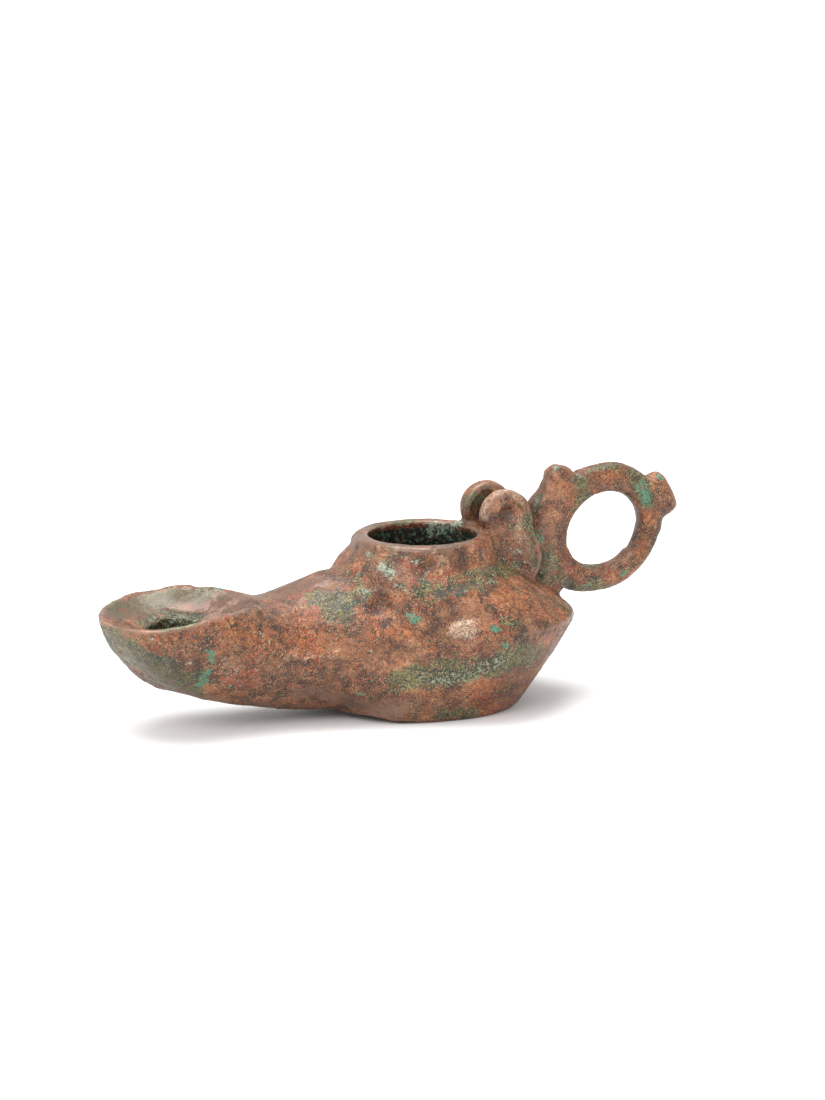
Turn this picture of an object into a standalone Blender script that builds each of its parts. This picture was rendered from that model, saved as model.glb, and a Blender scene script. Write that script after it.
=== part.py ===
"""Ancient bronze oil lamp, cast in one piece. Metres, +Z up, standing on Z = 0.

The nozzle points along -X and the finger ring along +X. The origin is the middle of the flat foot.
The lid is lost: only its two hinge lugs stand behind the filling hole.
"""

import math

import bmesh
import bpy
from mathutils import Matrix, Vector

# Casting
WALL = 0.0026
HALF_STEPS = 44
SPLINE_STEPS = 24
MERGE = 1e-7

# Foot
FOOT_LENGTH = 0.0356
FOOT_WIDTH = 0.0332
FOOT_EDGE = 0.0008
FOOT_STEPS = 24
FOOT_FRONT_ROUNDNESS = 2.5
BELLY_AHEAD = 0.0040
SOLE_AHEAD = 0.0008

# Round body: its keel is the line where the flank meets the shoulder
BODY_RADIUS = 0.0232
BODY_CENTRE_X = 0.0056
KEEL_HEIGHT = 0.0177
FLANK_ROWS = 8
SHOULDER_ROWS = 8
FLANK_SLOPE_SHARE = 0.86
FLANK_BOW = 3.0
BODY_CORNERS = (0.0, 30.0, 60.0, 90.0)
CHEEK_ALONG = 0.48
CHEEK_IN = 0.52
SHOULDER_BOW = 1.25

# Nozzle
NOZZLE_REACH = 0.0683
WAIST_AHEAD = 0.0164
WAIST_X = BODY_CENTRE_X - BODY_RADIUS - WAIST_AHEAD
WAIST_HALF_WIDTH = 0.0112
WAIST_DROP = 0.0027
WAIST_KEEL_HEIGHT = KEEL_HEIGHT - WAIST_DROP
FLARE_INSET = 0.0133
FLARE_X = FLARE_INSET - NOZZLE_REACH
FLARE_HALF_WIDTH = 0.0138
TIP_OUTLINE = ((0.0, 1.0), (0.42, 0.92), (0.81, 0.60))
DECK_RISE = 0.0063
DECK_HEIGHT = KEEL_HEIGHT + DECK_RISE
DECK_ROLL = math.radians(2.2)
TIP_DROOP = 0.0011
RIM_ROUNDING = 0.0006
SADDLE_RUN = 0.0240
SADDLE_CURVE = 1.9
SADDLE_DIP = 0.0024
SADDLE_DIP_BEHIND = 0.0218
SADDLE_DIP_RUN = 0.0092
SPINE_INSET = 0.0116
SPINE_SLOPE = 0.262
SPINE_EASE = 0.0115

# How round the nozzle is below and above, and over which share of the outline that sets in
HULL_ROUNDNESS = 2.0
HULL_BLEND = (0.30, 0.55)
TIP_ROUNDNESS = 1.42
TIP_BLEND = (0.72, 1.0)
CROWN_ROUNDNESS = 2.3
CROWN_BLEND = (0.34, 0.80)
DECK_ROUNDNESS = 4.0
DECK_BLEND = (0.75, 0.85)

# Neck and filling hole
HOLE_AHEAD = 0.0075
HOLE_X = BODY_CENTRE_X - HOLE_AHEAD
HOLE_RADIUS = 0.0107
NECK_WALL = 0.0035
NECK_RADIUS = HOLE_RADIUS + NECK_WALL
NECK_FLARE = 0.0030
NECK_CURVE = 2.4
NECK_ROWS = 4
SHOULDER_RISE = 0.0118
NECK_FOOT_HEIGHT = KEEL_HEIGHT + SHOULDER_RISE
NECK_SINK = 0.0026
NECK_SINK_TURNS = (math.radians(100.0), math.radians(155.0))
NECK_RISE = 0.0047
LIP_HEIGHT = NECK_FOOT_HEIGHT + NECK_RISE
LIP_TILT = math.radians(0.5)
LIP_ROUNDING = 0.0010

# Where the lines of the mesh are smoothed: in front of the neck, and under the tip
SOFT_AHEAD = 0.0041
SOFT_START_X = HOLE_X - SOFT_AHEAD
SOFT_PAST_WAIST = 0.0080
SOFT_END_X = WAIST_X - SOFT_PAST_WAIST
SOFT_OVER = 0.0003
SOFT_UNDER = 0.0006
SOFT_TIP_BEHIND = 0.0050
SOFT_TIP_X = FLARE_X + SOFT_TIP_BEHIND
SOFT_TURNS = 3

# Hollow of the round body
FLOOR_MARGIN = 0.0010
KEEL_MARGIN = 0.0005
CEILING_DROP = 0.0034
THROAT_FLARE = 0.0007
CORE_SIDES = 56

# Wick dish, wick hole and the channel below them
DISH_AHEAD = 0.0010
DISH_X = FLARE_X - DISH_AHEAD
DISH_RIM = 0.0006
DISH_FRONT = NOZZLE_REACH + DISH_X - DISH_RIM
DISH_BACK = 0.0188
DISH_SIDE_RIM = 0.0009
DISH_HALF_WIDTH = FLARE_HALF_WIDTH - DISH_SIDE_RIM
DISH_DEPTH = 0.0046
DISH_POWER = 1.8
DISH_LIP = 0.0027
DISH_LIP_BREADTH = 0.35
DISH_LIP_RUN = (0.0, 0.50)
DISH_LIP_FADE = (0.88, 1.12)
WICK_HOLE_BEHIND = 0.0025
WICK_HOLE_X = DISH_X + WICK_HOLE_BEHIND
WICK_HOLE_RADIUS = 0.0055
WICK_HOLE_REACH = 0.0020
WICK_HOLE_SIDES = 28
CHANNEL_AHEAD = 0.0061
CHANNEL_START_X = HOLE_X - CHANNEL_AHEAD
CHANNEL_END_INSET = 0.0113
CHANNEL_END_X = CHANNEL_END_INSET - NOZZLE_REACH
CHANNEL_FLOOR = 0.0031
CHANNEL_SIDE = 0.0044
CHANNEL_END_RISE = 0.0026
CHANNEL_END_BREADTH = 0.60
CHANNEL_TIP_SIZE = 0.6
CHANNEL_SIDES = 28
CHANNEL_ROWS = 9

# Hinge lugs
LUG_BEHIND = 0.0013
LUG_X = HOLE_X + NECK_RADIUS + LUG_BEHIND
LUG_RISE = 0.0031
LUG_HEIGHT = LIP_HEIGHT + LUG_RISE
LUG_RADIUS = 0.0052
LUG_THICKNESS = 0.0038
LUG_GAP = 0.0058
LUG_EDGE = 0.0009
LUG_ROOT_BEHIND = 0.0030
LUG_ROOT_X = LUG_X + LUG_ROOT_BEHIND
LUG_ROOT_DROP = 0.0094
LUG_ROOT_HEIGHT = LUG_HEIGHT - LUG_ROOT_DROP
LUG_ROOT_RADIUS = 0.0046
LUG_SIDES = 28
PIN_RECESS_RADIUS = 0.0016
PIN_RECESS_DEPTH = 0.0006
PIN_RECESS_EDGE = 0.0002
PIN_RECESS_SIDES = 14
EDGE_STEPS = ((0.0, 1.0), (0.35, 0.3), (1.0, 0.0))

# Finger ring
RING_BEHIND = 0.0079
RING_X = BODY_CENTRE_X + BODY_RADIUS + RING_BEHIND
RING_RISE = 0.0137
RING_HEIGHT = KEEL_HEIGHT + RING_RISE
RING_HOLE_LENGTH = 0.0170
RING_HOLE_BREADTH = 0.0149
RING_HOLE_TILT = math.radians(46.0)
RING_WIDTH = 0.0054
RING_BAND = 0.0053
RING_TOP_BAND = 0.0058
RING_WORN_ANGLE = math.radians(-62.0)
RING_WEAR = 0.0013
RING_WEAR_SPREAD = 0.6
RING_SEGMENTS = 48
BAR_SIDES = 12
BAR_SQUARENESS = 0.70
BAR_TAPER = ((0.0, 1.0), (0.35, 1.0), (0.7, 1.0), (0.9, 0.97))

# Root of the ring on the shoulder, and the post in front of the ring with its horn
ROOT_INSET = 0.0048
ROOT_X = BODY_CENTRE_X + BODY_RADIUS - ROOT_INSET
ROOT_RISE = 0.0064
ROOT_HEIGHT = KEEL_HEIGHT + ROOT_RISE
ROOT_RADIUS = 0.0050
ROOT_EDGE = 0.0012
POST_AHEAD = 0.0034
POST_FOOT_X = ROOT_X - POST_AHEAD
POST_DROP = 0.0016
POST_FOOT_HEIGHT = ROOT_HEIGHT - POST_DROP
POST_LEAN = 0.0070
POST_TIP_X = POST_FOOT_X + POST_LEAN
POST_RISE = 0.0230
POST_TIP_HEIGHT = POST_FOOT_HEIGHT + POST_RISE
POST_DEPTH = 0.0066
POST_WIDTH = 0.0064
HORN_DEPTH = 0.0070
HORN_ROUNDING = 0.36

# Knob on the outer edge of the ring
KNOB_ANGLE = math.radians(27.0)
KNOB_LENGTH = 0.0081
KNOB_DEPTH = 0.0098
KNOB_END_DEPTH = 0.0088
KNOB_ROUNDING = 0.85

# Material, and how far a cutter goes past the metal
BRONZE_COLOUR = (0.19, 0.10, 0.065, 1.0)
BRONZE_METALLIC = 0.55
BRONZE_ROUGHNESS = 0.48
CUTTER_REACH = 0.0120


def clear_scene():
    for item in list(bpy.data.objects):
        bpy.data.objects.remove(item)


def smoothstep(low, high, value):
    share = min(1.0, max(0.0, (value - low) / (high - low)))
    return share * share * (3.0 - 2.0 * share)


def mix(first, second, share):
    return first + (second - first) * share


def rounded_square(angle, power):
    """A point of a circle pressed towards a square, the more so the lower the power."""
    x, y = math.cos(angle), math.sin(angle)
    return math.copysign(abs(x) ** power, x), math.copysign(abs(y) ** power, y)


def spline_point(before, start, end, after, share):
    """The Catmull-Rom curve between start and end."""
    bend = 2.0 * before - 5.0 * start + 4.0 * end - after
    twist = 3.0 * start - before - 3.0 * end + after
    return start + 0.5 * (share * (end - before) + share**2 * bend + share**3 * twist)


def even_loop(points, count):
    """count points at even distances along the closed curve through points."""
    dense = []
    for i in range(len(points)):
        around = [points[(i + step) % len(points)] for step in (-1, 0, 1, 2)]
        dense += [spline_point(*around, j / SPLINE_STEPS) for j in range(SPLINE_STEPS)]
    dense.append(dense[0])
    lengths = [0.0]
    for first, second in zip(dense, dense[1:]):
        lengths.append(lengths[-1] + (second - first).length)
    found = []
    place = 0
    for i in range(count):
        wanted = lengths[-1] * i / count
        while lengths[place + 1] < wanted:
            place += 1
        share = (wanted - lengths[place]) / (lengths[place + 1] - lengths[place])
        found.append(dense[place].lerp(dense[place + 1], share))
    return found


def mesh_object(name, points, faces):
    mesh = bpy.data.meshes.new(name)
    mesh.from_pydata([tuple(point) for point in points], [], faces)
    mesh.update()
    made = bpy.data.objects.new(name, mesh)
    bpy.context.scene.collection.objects.link(made)
    return made


def loft(name, rings, closed=False):
    """A body through rings of equal length, each turning anticlockwise seen from the next one."""
    count = len(rings[0])
    points = [point for ring in rings for point in ring]
    faces = []
    for row in range(len(rings) if closed else len(rings) - 1):
        low = row * count
        high = (row + 1) % len(rings) * count
        for i in range(count):
            j = (i + 1) % count
            faces.append([low + i, low + j, high + j, high + i])
    if not closed:
        last = (len(rings) - 1) * count
        faces.append(list(reversed(range(count))))
        faces.append([last + i for i in range(count)])
    return mesh_object(name, points, faces)


def join(target, others, operation):
    """Joins or cuts target with the other bodies, which become hidden helpers."""
    for other in others:
        change = target.modifiers.new(other.name, "BOOLEAN")
        change.operation = operation
        change.solver = "EXACT"
        change.object = other
        other.hide_render = True
        other.display_type = "WIRE"


def settled(point):
    """The point with the nozzle's slight roll, which lifts its far side, and its drooping tip."""
    roll = smoothstep(-WAIST_X, -FLARE_X, -point.x) * math.tan(DECK_ROLL)
    droop = smoothstep(-FLARE_X, NOZZLE_REACH, -point.x) * TIP_DROOP
    return Vector((point.x, point.y, point.z + roll * point.y - droop))


def rim_height():
    return DECK_HEIGHT - RIM_ROUNDING


def widest_line():
    """The +Y half of the line where the plan of body and nozzle is widest, from the back to the tip."""
    half = []
    for degrees in BODY_CORNERS:
        angle = math.radians(degrees)
        x = BODY_CENTRE_X + BODY_RADIUS * math.cos(angle)
        half.append(Vector((x, BODY_RADIUS * math.sin(angle), KEEL_HEIGHT)))
    cheek_x = mix(BODY_CENTRE_X, WAIST_X, CHEEK_ALONG)
    cheek_half_width = mix(BODY_RADIUS, WAIST_HALF_WIDTH, CHEEK_IN)
    cheek_height = (KEEL_HEIGHT + WAIST_KEEL_HEIGHT) / 2
    half.append(Vector((cheek_x, cheek_half_width, cheek_height)))
    half.append(Vector((WAIST_X, WAIST_HALF_WIDTH, WAIST_KEEL_HEIGHT)))
    for along, across in TIP_OUTLINE:
        x = mix(FLARE_X, -NOZZLE_REACH, along)
        half.append(Vector((x, across * FLARE_HALF_WIDTH, rim_height())))
    other = [Vector((point.x, -point.y, point.z)) for point in reversed(half[1:])]
    tip = Vector((-NOZZLE_REACH, 0.0, rim_height()))
    line = even_loop(half + [tip] + other, 2 * HALF_STEPS)[: HALF_STEPS + 1]
    line[0].y = line[-1].y = 0.0
    return line


def arc(centre_x, half_length, half_width, height):
    """The +Y half of an oval from the back to the front, with height a function of the angle."""
    line = []
    for i in range(FOOT_STEPS + 1):
        angle = math.pi * i / FOOT_STEPS
        y = half_width * math.sin(angle) if 0 < i < FOOT_STEPS else 0.0
        line.append(Vector((centre_x + half_length * math.cos(angle), y, height(angle))))
    return line


def foot_arc(inset, ahead, height):
    """The +Y half of the foot's edge, whose front half is squarer and reaches further ahead."""
    line = arc(0.0, FOOT_LENGTH / 2 - inset, FOOT_WIDTH / 2 - inset, lambda turn: height)
    for i in range(FOOT_STEPS // 2 + 1, FOOT_STEPS + 1):
        along, across = rounded_square(math.pi * i / FOOT_STEPS, 2.0 / FOOT_FRONT_ROUNDNESS)
        line[i].x = (FOOT_LENGTH / 2 - inset + ahead) * along
        line[i].y = (FOOT_WIDTH / 2 - inset) * across if i < FOOT_STEPS else 0.0
    return line


def neck_arc(radius, height):
    return arc(HOLE_X, radius, radius, height)


def lip_height(angle):
    return LIP_HEIGHT + NECK_RADIUS * math.cos(angle) * math.tan(LIP_TILT)


def neck_foot_height(angle):
    """The foot of the neck, which lies lower at the sides and the back than towards the nozzle."""
    return NECK_FOOT_HEIGHT - NECK_SINK * (1.0 - smoothstep(*NECK_SINK_TURNS, angle))


def spine_height(x):
    """The underside of the nozzle along its middle, which leaves the foot level."""
    away = max(0.0, -FOOT_LENGTH / 2 - BELLY_AHEAD - x)
    return FOOT_EDGE + SPINE_SLOPE * away**2 / (away + SPINE_EASE)


def saddle_height(x):
    """The top of the nozzle along its middle, rising from the deck to the foot of the neck."""
    away = HOLE_X - NECK_RADIUS - NECK_FLARE - x
    saddle = max(0.0, 1.0 - away / SADDLE_RUN) ** SADDLE_CURVE
    dip = SADDLE_DIP * smoothstep(0.0, 1.0, 1.0 - abs(x - FLARE_X - SADDLE_DIP_BEHIND) / SADDLE_DIP_RUN)
    return mix(DECK_HEIGHT, NECK_FOOT_HEIGHT, min(1.0, saddle)) - dip


def with_spine(front, height):
    """Carries an arc on along the middle of the nozzle, to as many points as the widest line has."""
    steps = HALF_STEPS - FOOT_STEPS
    end_x = SPINE_INSET - NOZZLE_REACH
    line = list(front)
    for i in range(1, steps + 1):
        x = mix(front[-1].x, end_x, i / steps)
        line.append(Vector((x, 0.0, height(x))))
    return line


def side_rows(inner, widest, rows, rise):
    """Rows of points from an inner line out to the widest line, the inner line left out."""
    found = []
    for row in range(1, rows + 1):
        share = math.sin(math.pi / 2 * row / rows)
        line = []
        for i, (low, high) in enumerate(zip(inner, widest)):
            plan = low.lerp(high, share)
            height = mix(low.z, high.z, rise(share, i / HALF_STEPS))
            line.append(Vector((plan.x, plan.y, height)))
        found.append(line)
    return found


def round_rise(share, roundness):
    """A quarter of a rounded oval: flat at share 0 and upright at share 1."""
    return 1.0 - (1.0 - share**roundness) ** (1.0 / roundness)


def hull_rise(share, along):
    """The rise of the underside, nearly straight on the body and round on the nozzle."""
    flank = FLANK_SLOPE_SHARE * share + (1.0 - FLANK_SLOPE_SHARE) * share**FLANK_BOW
    roundness = mix(HULL_ROUNDNESS, TIP_ROUNDNESS, smoothstep(*TIP_BLEND, along))
    return mix(flank, round_rise(share, roundness), smoothstep(*HULL_BLEND, along))


def shoulder_fall(share, along):
    """The fall of the upper side: bowed on the body, round on the nozzle, nearly flat at the dish."""
    roundness = mix(CROWN_ROUNDNESS, DECK_ROUNDNESS, smoothstep(*DECK_BLEND, along))
    return mix(share**SHOULDER_BOW, round_rise(share, roundness), smoothstep(*CROWN_BLEND, along))


def neck_lines():
    """The lines of the neck above its foot, up to the rounded lip."""
    lip = neck_arc(NECK_RADIUS - LIP_ROUNDING, lip_height)
    lines = []
    for row in range(1, NECK_ROWS + 1):
        climb = row / NECK_ROWS
        line = neck_arc(NECK_RADIUS + NECK_FLARE * (1.0 - climb) ** NECK_CURVE, neck_foot_height)
        for foot, top in zip(line, lip):
            foot.z = mix(foot.z, top.z - LIP_ROUNDING, climb)
        lines.append(line)
    lines.append(lip)
    return lines


def grid_faces(made, lines):
    """Faces between lines of points, as far as the shorter one of each pair goes."""
    rows = [[made.verts.new(settled(point)) for point in line] for line in lines]
    for low, high in zip(rows, rows[1:]):
        for i in range(min(len(low), len(high)) - 1):
            made.faces.new((low[i], low[i + 1], high[i + 1], high[i]))
    return rows


def other_side(lines):
    return [[Vector((point.x, -point.y, point.z)) for point in line] for line in lines]


def is_soft(point):
    """Whether the point lies where the neck runs out into the nozzle, or under the tip."""
    if SOFT_START_X > point.x > SOFT_END_X:
        return KEEL_HEIGHT + SOFT_UNDER < point.z < NECK_FOOT_HEIGHT + SOFT_OVER
    return point.x < SOFT_TIP_X and point.z < WAIST_KEEL_HEIGHT


def dish_fall(point):
    """How far the dish lies below the deck at the point, less its lip, which is raised at the back."""
    back = (point.x - DISH_X) / DISH_BACK
    along = back if back > 0.0 else back * DISH_BACK / DISH_FRONT
    across = point.y / DISH_HALF_WIDTH
    reach = (abs(along) ** DISH_POWER + abs(across) ** DISH_POWER) ** (1.0 / DISH_POWER)
    lip = smoothstep(*DISH_LIP_RUN, back) * (1.0 - smoothstep(*DISH_LIP_FADE, back))
    lip *= DISH_LIP * smoothstep(0.0, 1.0, 1.0 - abs(reach - 1.0) / DISH_LIP_BREADTH)
    return DISH_DEPTH * max(0.0, 1.0 - reach**2) - lip


def dished(lines):
    return [[Vector((point.x, point.y, point.z - dish_fall(point))) for point in line] for line in lines]


def vessel():
    """The outside of the body and nozzle, still solid: the same lines on both sides of Y = 0."""
    sole = foot_arc(FOOT_EDGE, SOLE_AHEAD, 0.0)
    foot = foot_arc(0.0, BELLY_AHEAD, FOOT_EDGE)
    neck_foot = neck_arc(NECK_RADIUS + NECK_FLARE, neck_foot_height)
    keel = with_spine(foot, spine_height)
    saddle = with_spine(neck_foot, saddle_height)
    widest = widest_line()
    flank = side_rows(keel, widest, FLANK_ROWS, hull_rise)
    shoulder = side_rows(saddle, widest, SHOULDER_ROWS, shoulder_fall)
    top = dished(shoulder[-2::-1] + [saddle])
    lines = [sole, keel] + flank + top + neck_lines()
    made = bmesh.new()
    for side in (lines, other_side(lines)):
        rows = grid_faces(made, side)
        made.faces.new(rows[0])
        made.faces.new(rows[-1])
    bmesh.ops.remove_doubles(made, verts=made.verts[:], dist=MERGE)
    soft = [vert for vert in made.verts if is_soft(vert.co)]
    for _ in range(SOFT_TURNS):
        bmesh.ops.smooth_vert(made, verts=soft, factor=0.5, use_axis_x=True, use_axis_y=True, use_axis_z=True)
    bmesh.ops.triangulate(made, faces=made.faces[:], quad_method="SHORT_EDGE")
    bmesh.ops.recalc_face_normals(made, faces=made.faces[:])
    mesh = bpy.data.meshes.new("lamp")
    made.to_mesh(mesh)
    made.free()
    lamp = bpy.data.objects.new("lamp", mesh)
    bpy.context.scene.collection.objects.link(lamp)
    return lamp


def oval(centre_x, half_length, half_width, height):
    """A whole ring of points, with height a function of the angle."""
    ring = []
    for i in range(CORE_SIDES):
        angle = 2.0 * math.pi * i / CORE_SIDES
        x = centre_x + half_length * math.cos(angle)
        ring.append(Vector((x, half_width * math.sin(angle), height(angle))))
    return ring


def circle(radius, height):
    return oval(HOLE_X, radius, radius, height)


def chamber():
    """The hollow of the round body, with the filling hole above it."""
    front_x = -FOOT_LENGTH / 2
    rear_x = BODY_CENTRE_X + BODY_RADIUS
    slope = math.atan2(KEEL_HEIGHT, rear_x - FOOT_LENGTH / 2)
    keel_inset = WALL / math.sin(slope) + KEEL_MARGIN
    floor_inset = WALL / math.sin(slope) - WALL / math.tan(slope) + FLOOR_MARGIN
    middle_x = (front_x + rear_x) / 2
    keel_half_length = (rear_x - front_x) / 2 - keel_inset
    keel_half_width = BODY_RADIUS - keel_inset
    floor = oval(0.0, FOOT_LENGTH / 2 - floor_inset, FOOT_WIDTH / 2 - floor_inset, lambda turn: WALL)
    rings = [
        floor,
        oval(middle_x, keel_half_length, keel_half_width, lambda turn: KEEL_HEIGHT),
        circle(HOLE_RADIUS + NECK_FLARE, lambda turn: NECK_FOOT_HEIGHT - CEILING_DROP),
        circle(HOLE_RADIUS + THROAT_FLARE, lambda turn: NECK_FOOT_HEIGHT),
        circle(HOLE_RADIUS, lip_height),
        circle(HOLE_RADIUS, lambda turn: lip_height(turn) + CUTTER_REACH),
    ]
    return loft("chamber", rings)


def widest_at(x, widest):
    """The point of the widest line at x."""
    for low, high in zip(widest, widest[1:]):
        if high.x <= x <= low.x:
            return low.lerp(high, (low.x - x) / (low.x - high.x))
    return widest[0] if x > widest[0].x else widest[-1]


def channel():
    """The hollow of the nozzle, from the chamber to under the wick hole."""
    widest = widest_line()
    ceiling = DECK_HEIGHT - DISH_DEPTH - WALL
    rings = []
    for row in range(CHANNEL_ROWS + 1):
        along = row / CHANNEL_ROWS
        share = math.sin(math.pi / 2 * along)
        x = mix(CHANNEL_START_X, CHANNEL_END_X, share)
        floor = spine_height(x) + CHANNEL_FLOOR + CHANNEL_END_RISE * along**3
        size = 1.0 if row < CHANNEL_ROWS else CHANNEL_TIP_SIZE
        middle = (floor + ceiling) / 2
        half_height = size * (ceiling - floor) / 2
        breadth = size * (widest_at(x, widest).y - CHANNEL_SIDE) * mix(1.0, CHANNEL_END_BREADTH, along**3)
        ring = []
        for i in range(CHANNEL_SIDES):
            angle = -2.0 * math.pi * i / CHANNEL_SIDES
            ring.append(Vector((x, breadth * math.cos(angle), middle + half_height * math.sin(angle))))
        rings.append(ring)
    return loft("channel", rings)


def wick_hole():
    top = DECK_HEIGHT + CUTTER_REACH
    bottom = DECK_HEIGHT - DISH_DEPTH - WALL - WICK_HOLE_REACH
    rings = []
    for height in (bottom, top):
        ring = []
        for i in range(WICK_HOLE_SIDES):
            angle = 2.0 * math.pi * i / WICK_HOLE_SIDES
            x = WICK_HOLE_X + WICK_HOLE_RADIUS * math.cos(angle)
            ring.append(Vector((x, WICK_HOLE_RADIUS * math.sin(angle), height)))
        rings.append(ring)
    return loft("wick_hole", rings)


def plate(name, circles, low_y, high_y, edge, sides=LUG_SIDES):
    """A plate facing along Y round circles of (x, height, radius), with its edges rounded off."""
    levels = [(low_y + inset * edge, shrink * edge) for inset, shrink in EDGE_STEPS]
    levels += [(high_y - inset * edge, shrink * edge) for inset, shrink in reversed(EDGE_STEPS)]
    rings = []
    for y, shrink in levels:
        ring = []
        for i in range(sides):
            out = Vector((math.sin(2.0 * math.pi * i / sides), 0.0, math.cos(2.0 * math.pi * i / sides)))
            reaches = [out.x * x + out.z * height + radius for x, height, radius in circles]
            x, height, radius = circles[reaches.index(max(reaches))]
            ring.append(Vector((x, y, height)) + out * (radius - shrink))
        rings.append(ring)
    return loft(name, rings)


def lug_sides():
    """(name, side of Y = 0, inner face, outer face) of each hinge lug."""
    reach = LUG_GAP / 2 + LUG_THICKNESS
    return (("near", -1.0, -LUG_GAP / 2, -reach), ("far", 1.0, LUG_GAP / 2, reach))


def lugs():
    found = []
    circles = ((LUG_X, LUG_HEIGHT, LUG_RADIUS), (LUG_ROOT_X, LUG_ROOT_HEIGHT, LUG_ROOT_RADIUS))
    for name, _, inner, outer in lug_sides():
        found.append(plate(f"{name}_lug", circles, min(inner, outer), max(inner, outer), LUG_EDGE))
    return found


def pin_recesses():
    found = []
    circles = ((LUG_X, LUG_HEIGHT, PIN_RECESS_RADIUS),)
    for name, side, _, outer in lug_sides():
        ends = (outer - side * PIN_RECESS_DEPTH, outer + side * CUTTER_REACH)
        size = (min(ends), max(ends), PIN_RECESS_EDGE, PIN_RECESS_SIDES)
        found.append(plate(f"{name}_pin_recess", circles, *size))
    return found


def bar(name, stations, closed=False):
    """A rounded bar in the XZ plane through stations of (middle, across, half depth, half width)."""
    rings = []
    for middle, across, half_depth, half_width in stations:
        ring = []
        for i in range(BAR_SIDES):
            out, side = rounded_square(2.0 * math.pi * i / BAR_SIDES, BAR_SQUARENESS)
            point = middle + across * (half_depth * out)
            ring.append(Vector((point.x, half_width * side, point.z)))
        rings.append(ring)
    return loft(name, rings, closed)


def ring_hole_edge(angle):
    """A point on the edge of the oval finger hole, and the way out of the hole there."""
    length, breadth = RING_HOLE_LENGTH / 2, RING_HOLE_BREADTH / 2
    turn = Matrix.Rotation(-RING_HOLE_TILT, 3, "Y")
    edge = turn @ Vector((length * math.cos(angle), 0.0, breadth * math.sin(angle)))
    out = turn @ Vector((breadth * math.cos(angle), 0.0, length * math.sin(angle)))
    return Vector((RING_X, 0.0, RING_HEIGHT)) + edge, out.normalized()


def finger_ring():
    worn = Vector((math.cos(RING_WORN_ANGLE), 0.0, math.sin(RING_WORN_ANGLE)))
    stations = []
    for i in range(RING_SEGMENTS):
        edge, out = ring_hole_edge(2.0 * math.pi * i / RING_SEGMENTS)
        band = mix(RING_BAND, RING_TOP_BAND, smoothstep(0.0, 1.0, out.z))
        band -= RING_WEAR * smoothstep(1.0 - RING_WEAR_SPREAD, 1.0, out.dot(worn))
        middle = edge + out * (band / 2)
        stations.append((middle, out, band / 2, RING_WIDTH / 2))
    return bar("ring", stations, closed=True)


def tapered_bar(name, ends, depths, width, rounding):
    """A bar between two ends of their own depths, with a blunt rounded tip."""
    start, end = ends
    along = (end - start).normalized()
    across = Vector((along.z, 0.0, -along.x))
    stations = []
    for share, size in BAR_TAPER + ((1.0, rounding),):
        half_depth = mix(*depths, share) / 2 * size
        stations.append((start.lerp(end, share), across, half_depth, width / 2 * size))
    return bar(name, stations)


def post():
    start = Vector((POST_FOOT_X, 0.0, POST_FOOT_HEIGHT))
    end = Vector((POST_TIP_X, 0.0, POST_TIP_HEIGHT))
    return tapered_bar("post", (start, end), (POST_DEPTH, HORN_DEPTH), POST_WIDTH, HORN_ROUNDING)


def ring_root():
    """The plate that ring and post share where they stand on the shoulder."""
    circles = ((ROOT_X, ROOT_HEIGHT, ROOT_RADIUS),)
    return plate("ring_root", circles, -POST_WIDTH / 2, POST_WIDTH / 2, ROOT_EDGE)


def knob():
    out = Vector((math.cos(KNOB_ANGLE), 0.0, math.sin(KNOB_ANGLE)))
    centre = Vector((RING_X, 0.0, RING_HEIGHT))
    start = centre + out * (RING_HOLE_LENGTH / 2 + RING_BAND / 2)
    end = centre + out * (RING_HOLE_LENGTH / 2 + KNOB_LENGTH)
    return tapered_bar("knob", (start, end), (KNOB_DEPTH, KNOB_END_DEPTH), RING_WIDTH, KNOB_ROUNDING)


def finish(lamp):
    bronze = bpy.data.materials.new("corroded bronze")
    bronze.use_nodes = True
    shader = bronze.node_tree.nodes["Principled BSDF"]
    shader.inputs["Base Color"].default_value = BRONZE_COLOUR
    shader.inputs["Metallic"].default_value = BRONZE_METALLIC
    shader.inputs["Roughness"].default_value = BRONZE_ROUGHNESS
    lamp.data.materials.append(bronze)


def main():
    clear_scene()
    lamp = vessel()
    finish(lamp)
    join(lamp, [finger_ring(), post(), ring_root(), knob()] + lugs(), "UNION")
    join(lamp, [chamber(), channel(), wick_hole()] + pin_recesses(), "DIFFERENCE")


main()
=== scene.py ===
"""An ancient bronze oil lamp with its corroded skin, on a pale floor in soft studio light.

Metres, +Z up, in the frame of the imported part: the nozzle points along -X and the finger ring along +X.
"""

import logging
import math
from dataclasses import dataclass, field
from enum import Enum
from typing import Any, Mapping, Sequence, Union

import bpy
import numpy as np
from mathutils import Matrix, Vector
from mathutils.bvhtree import BVHTree


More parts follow.
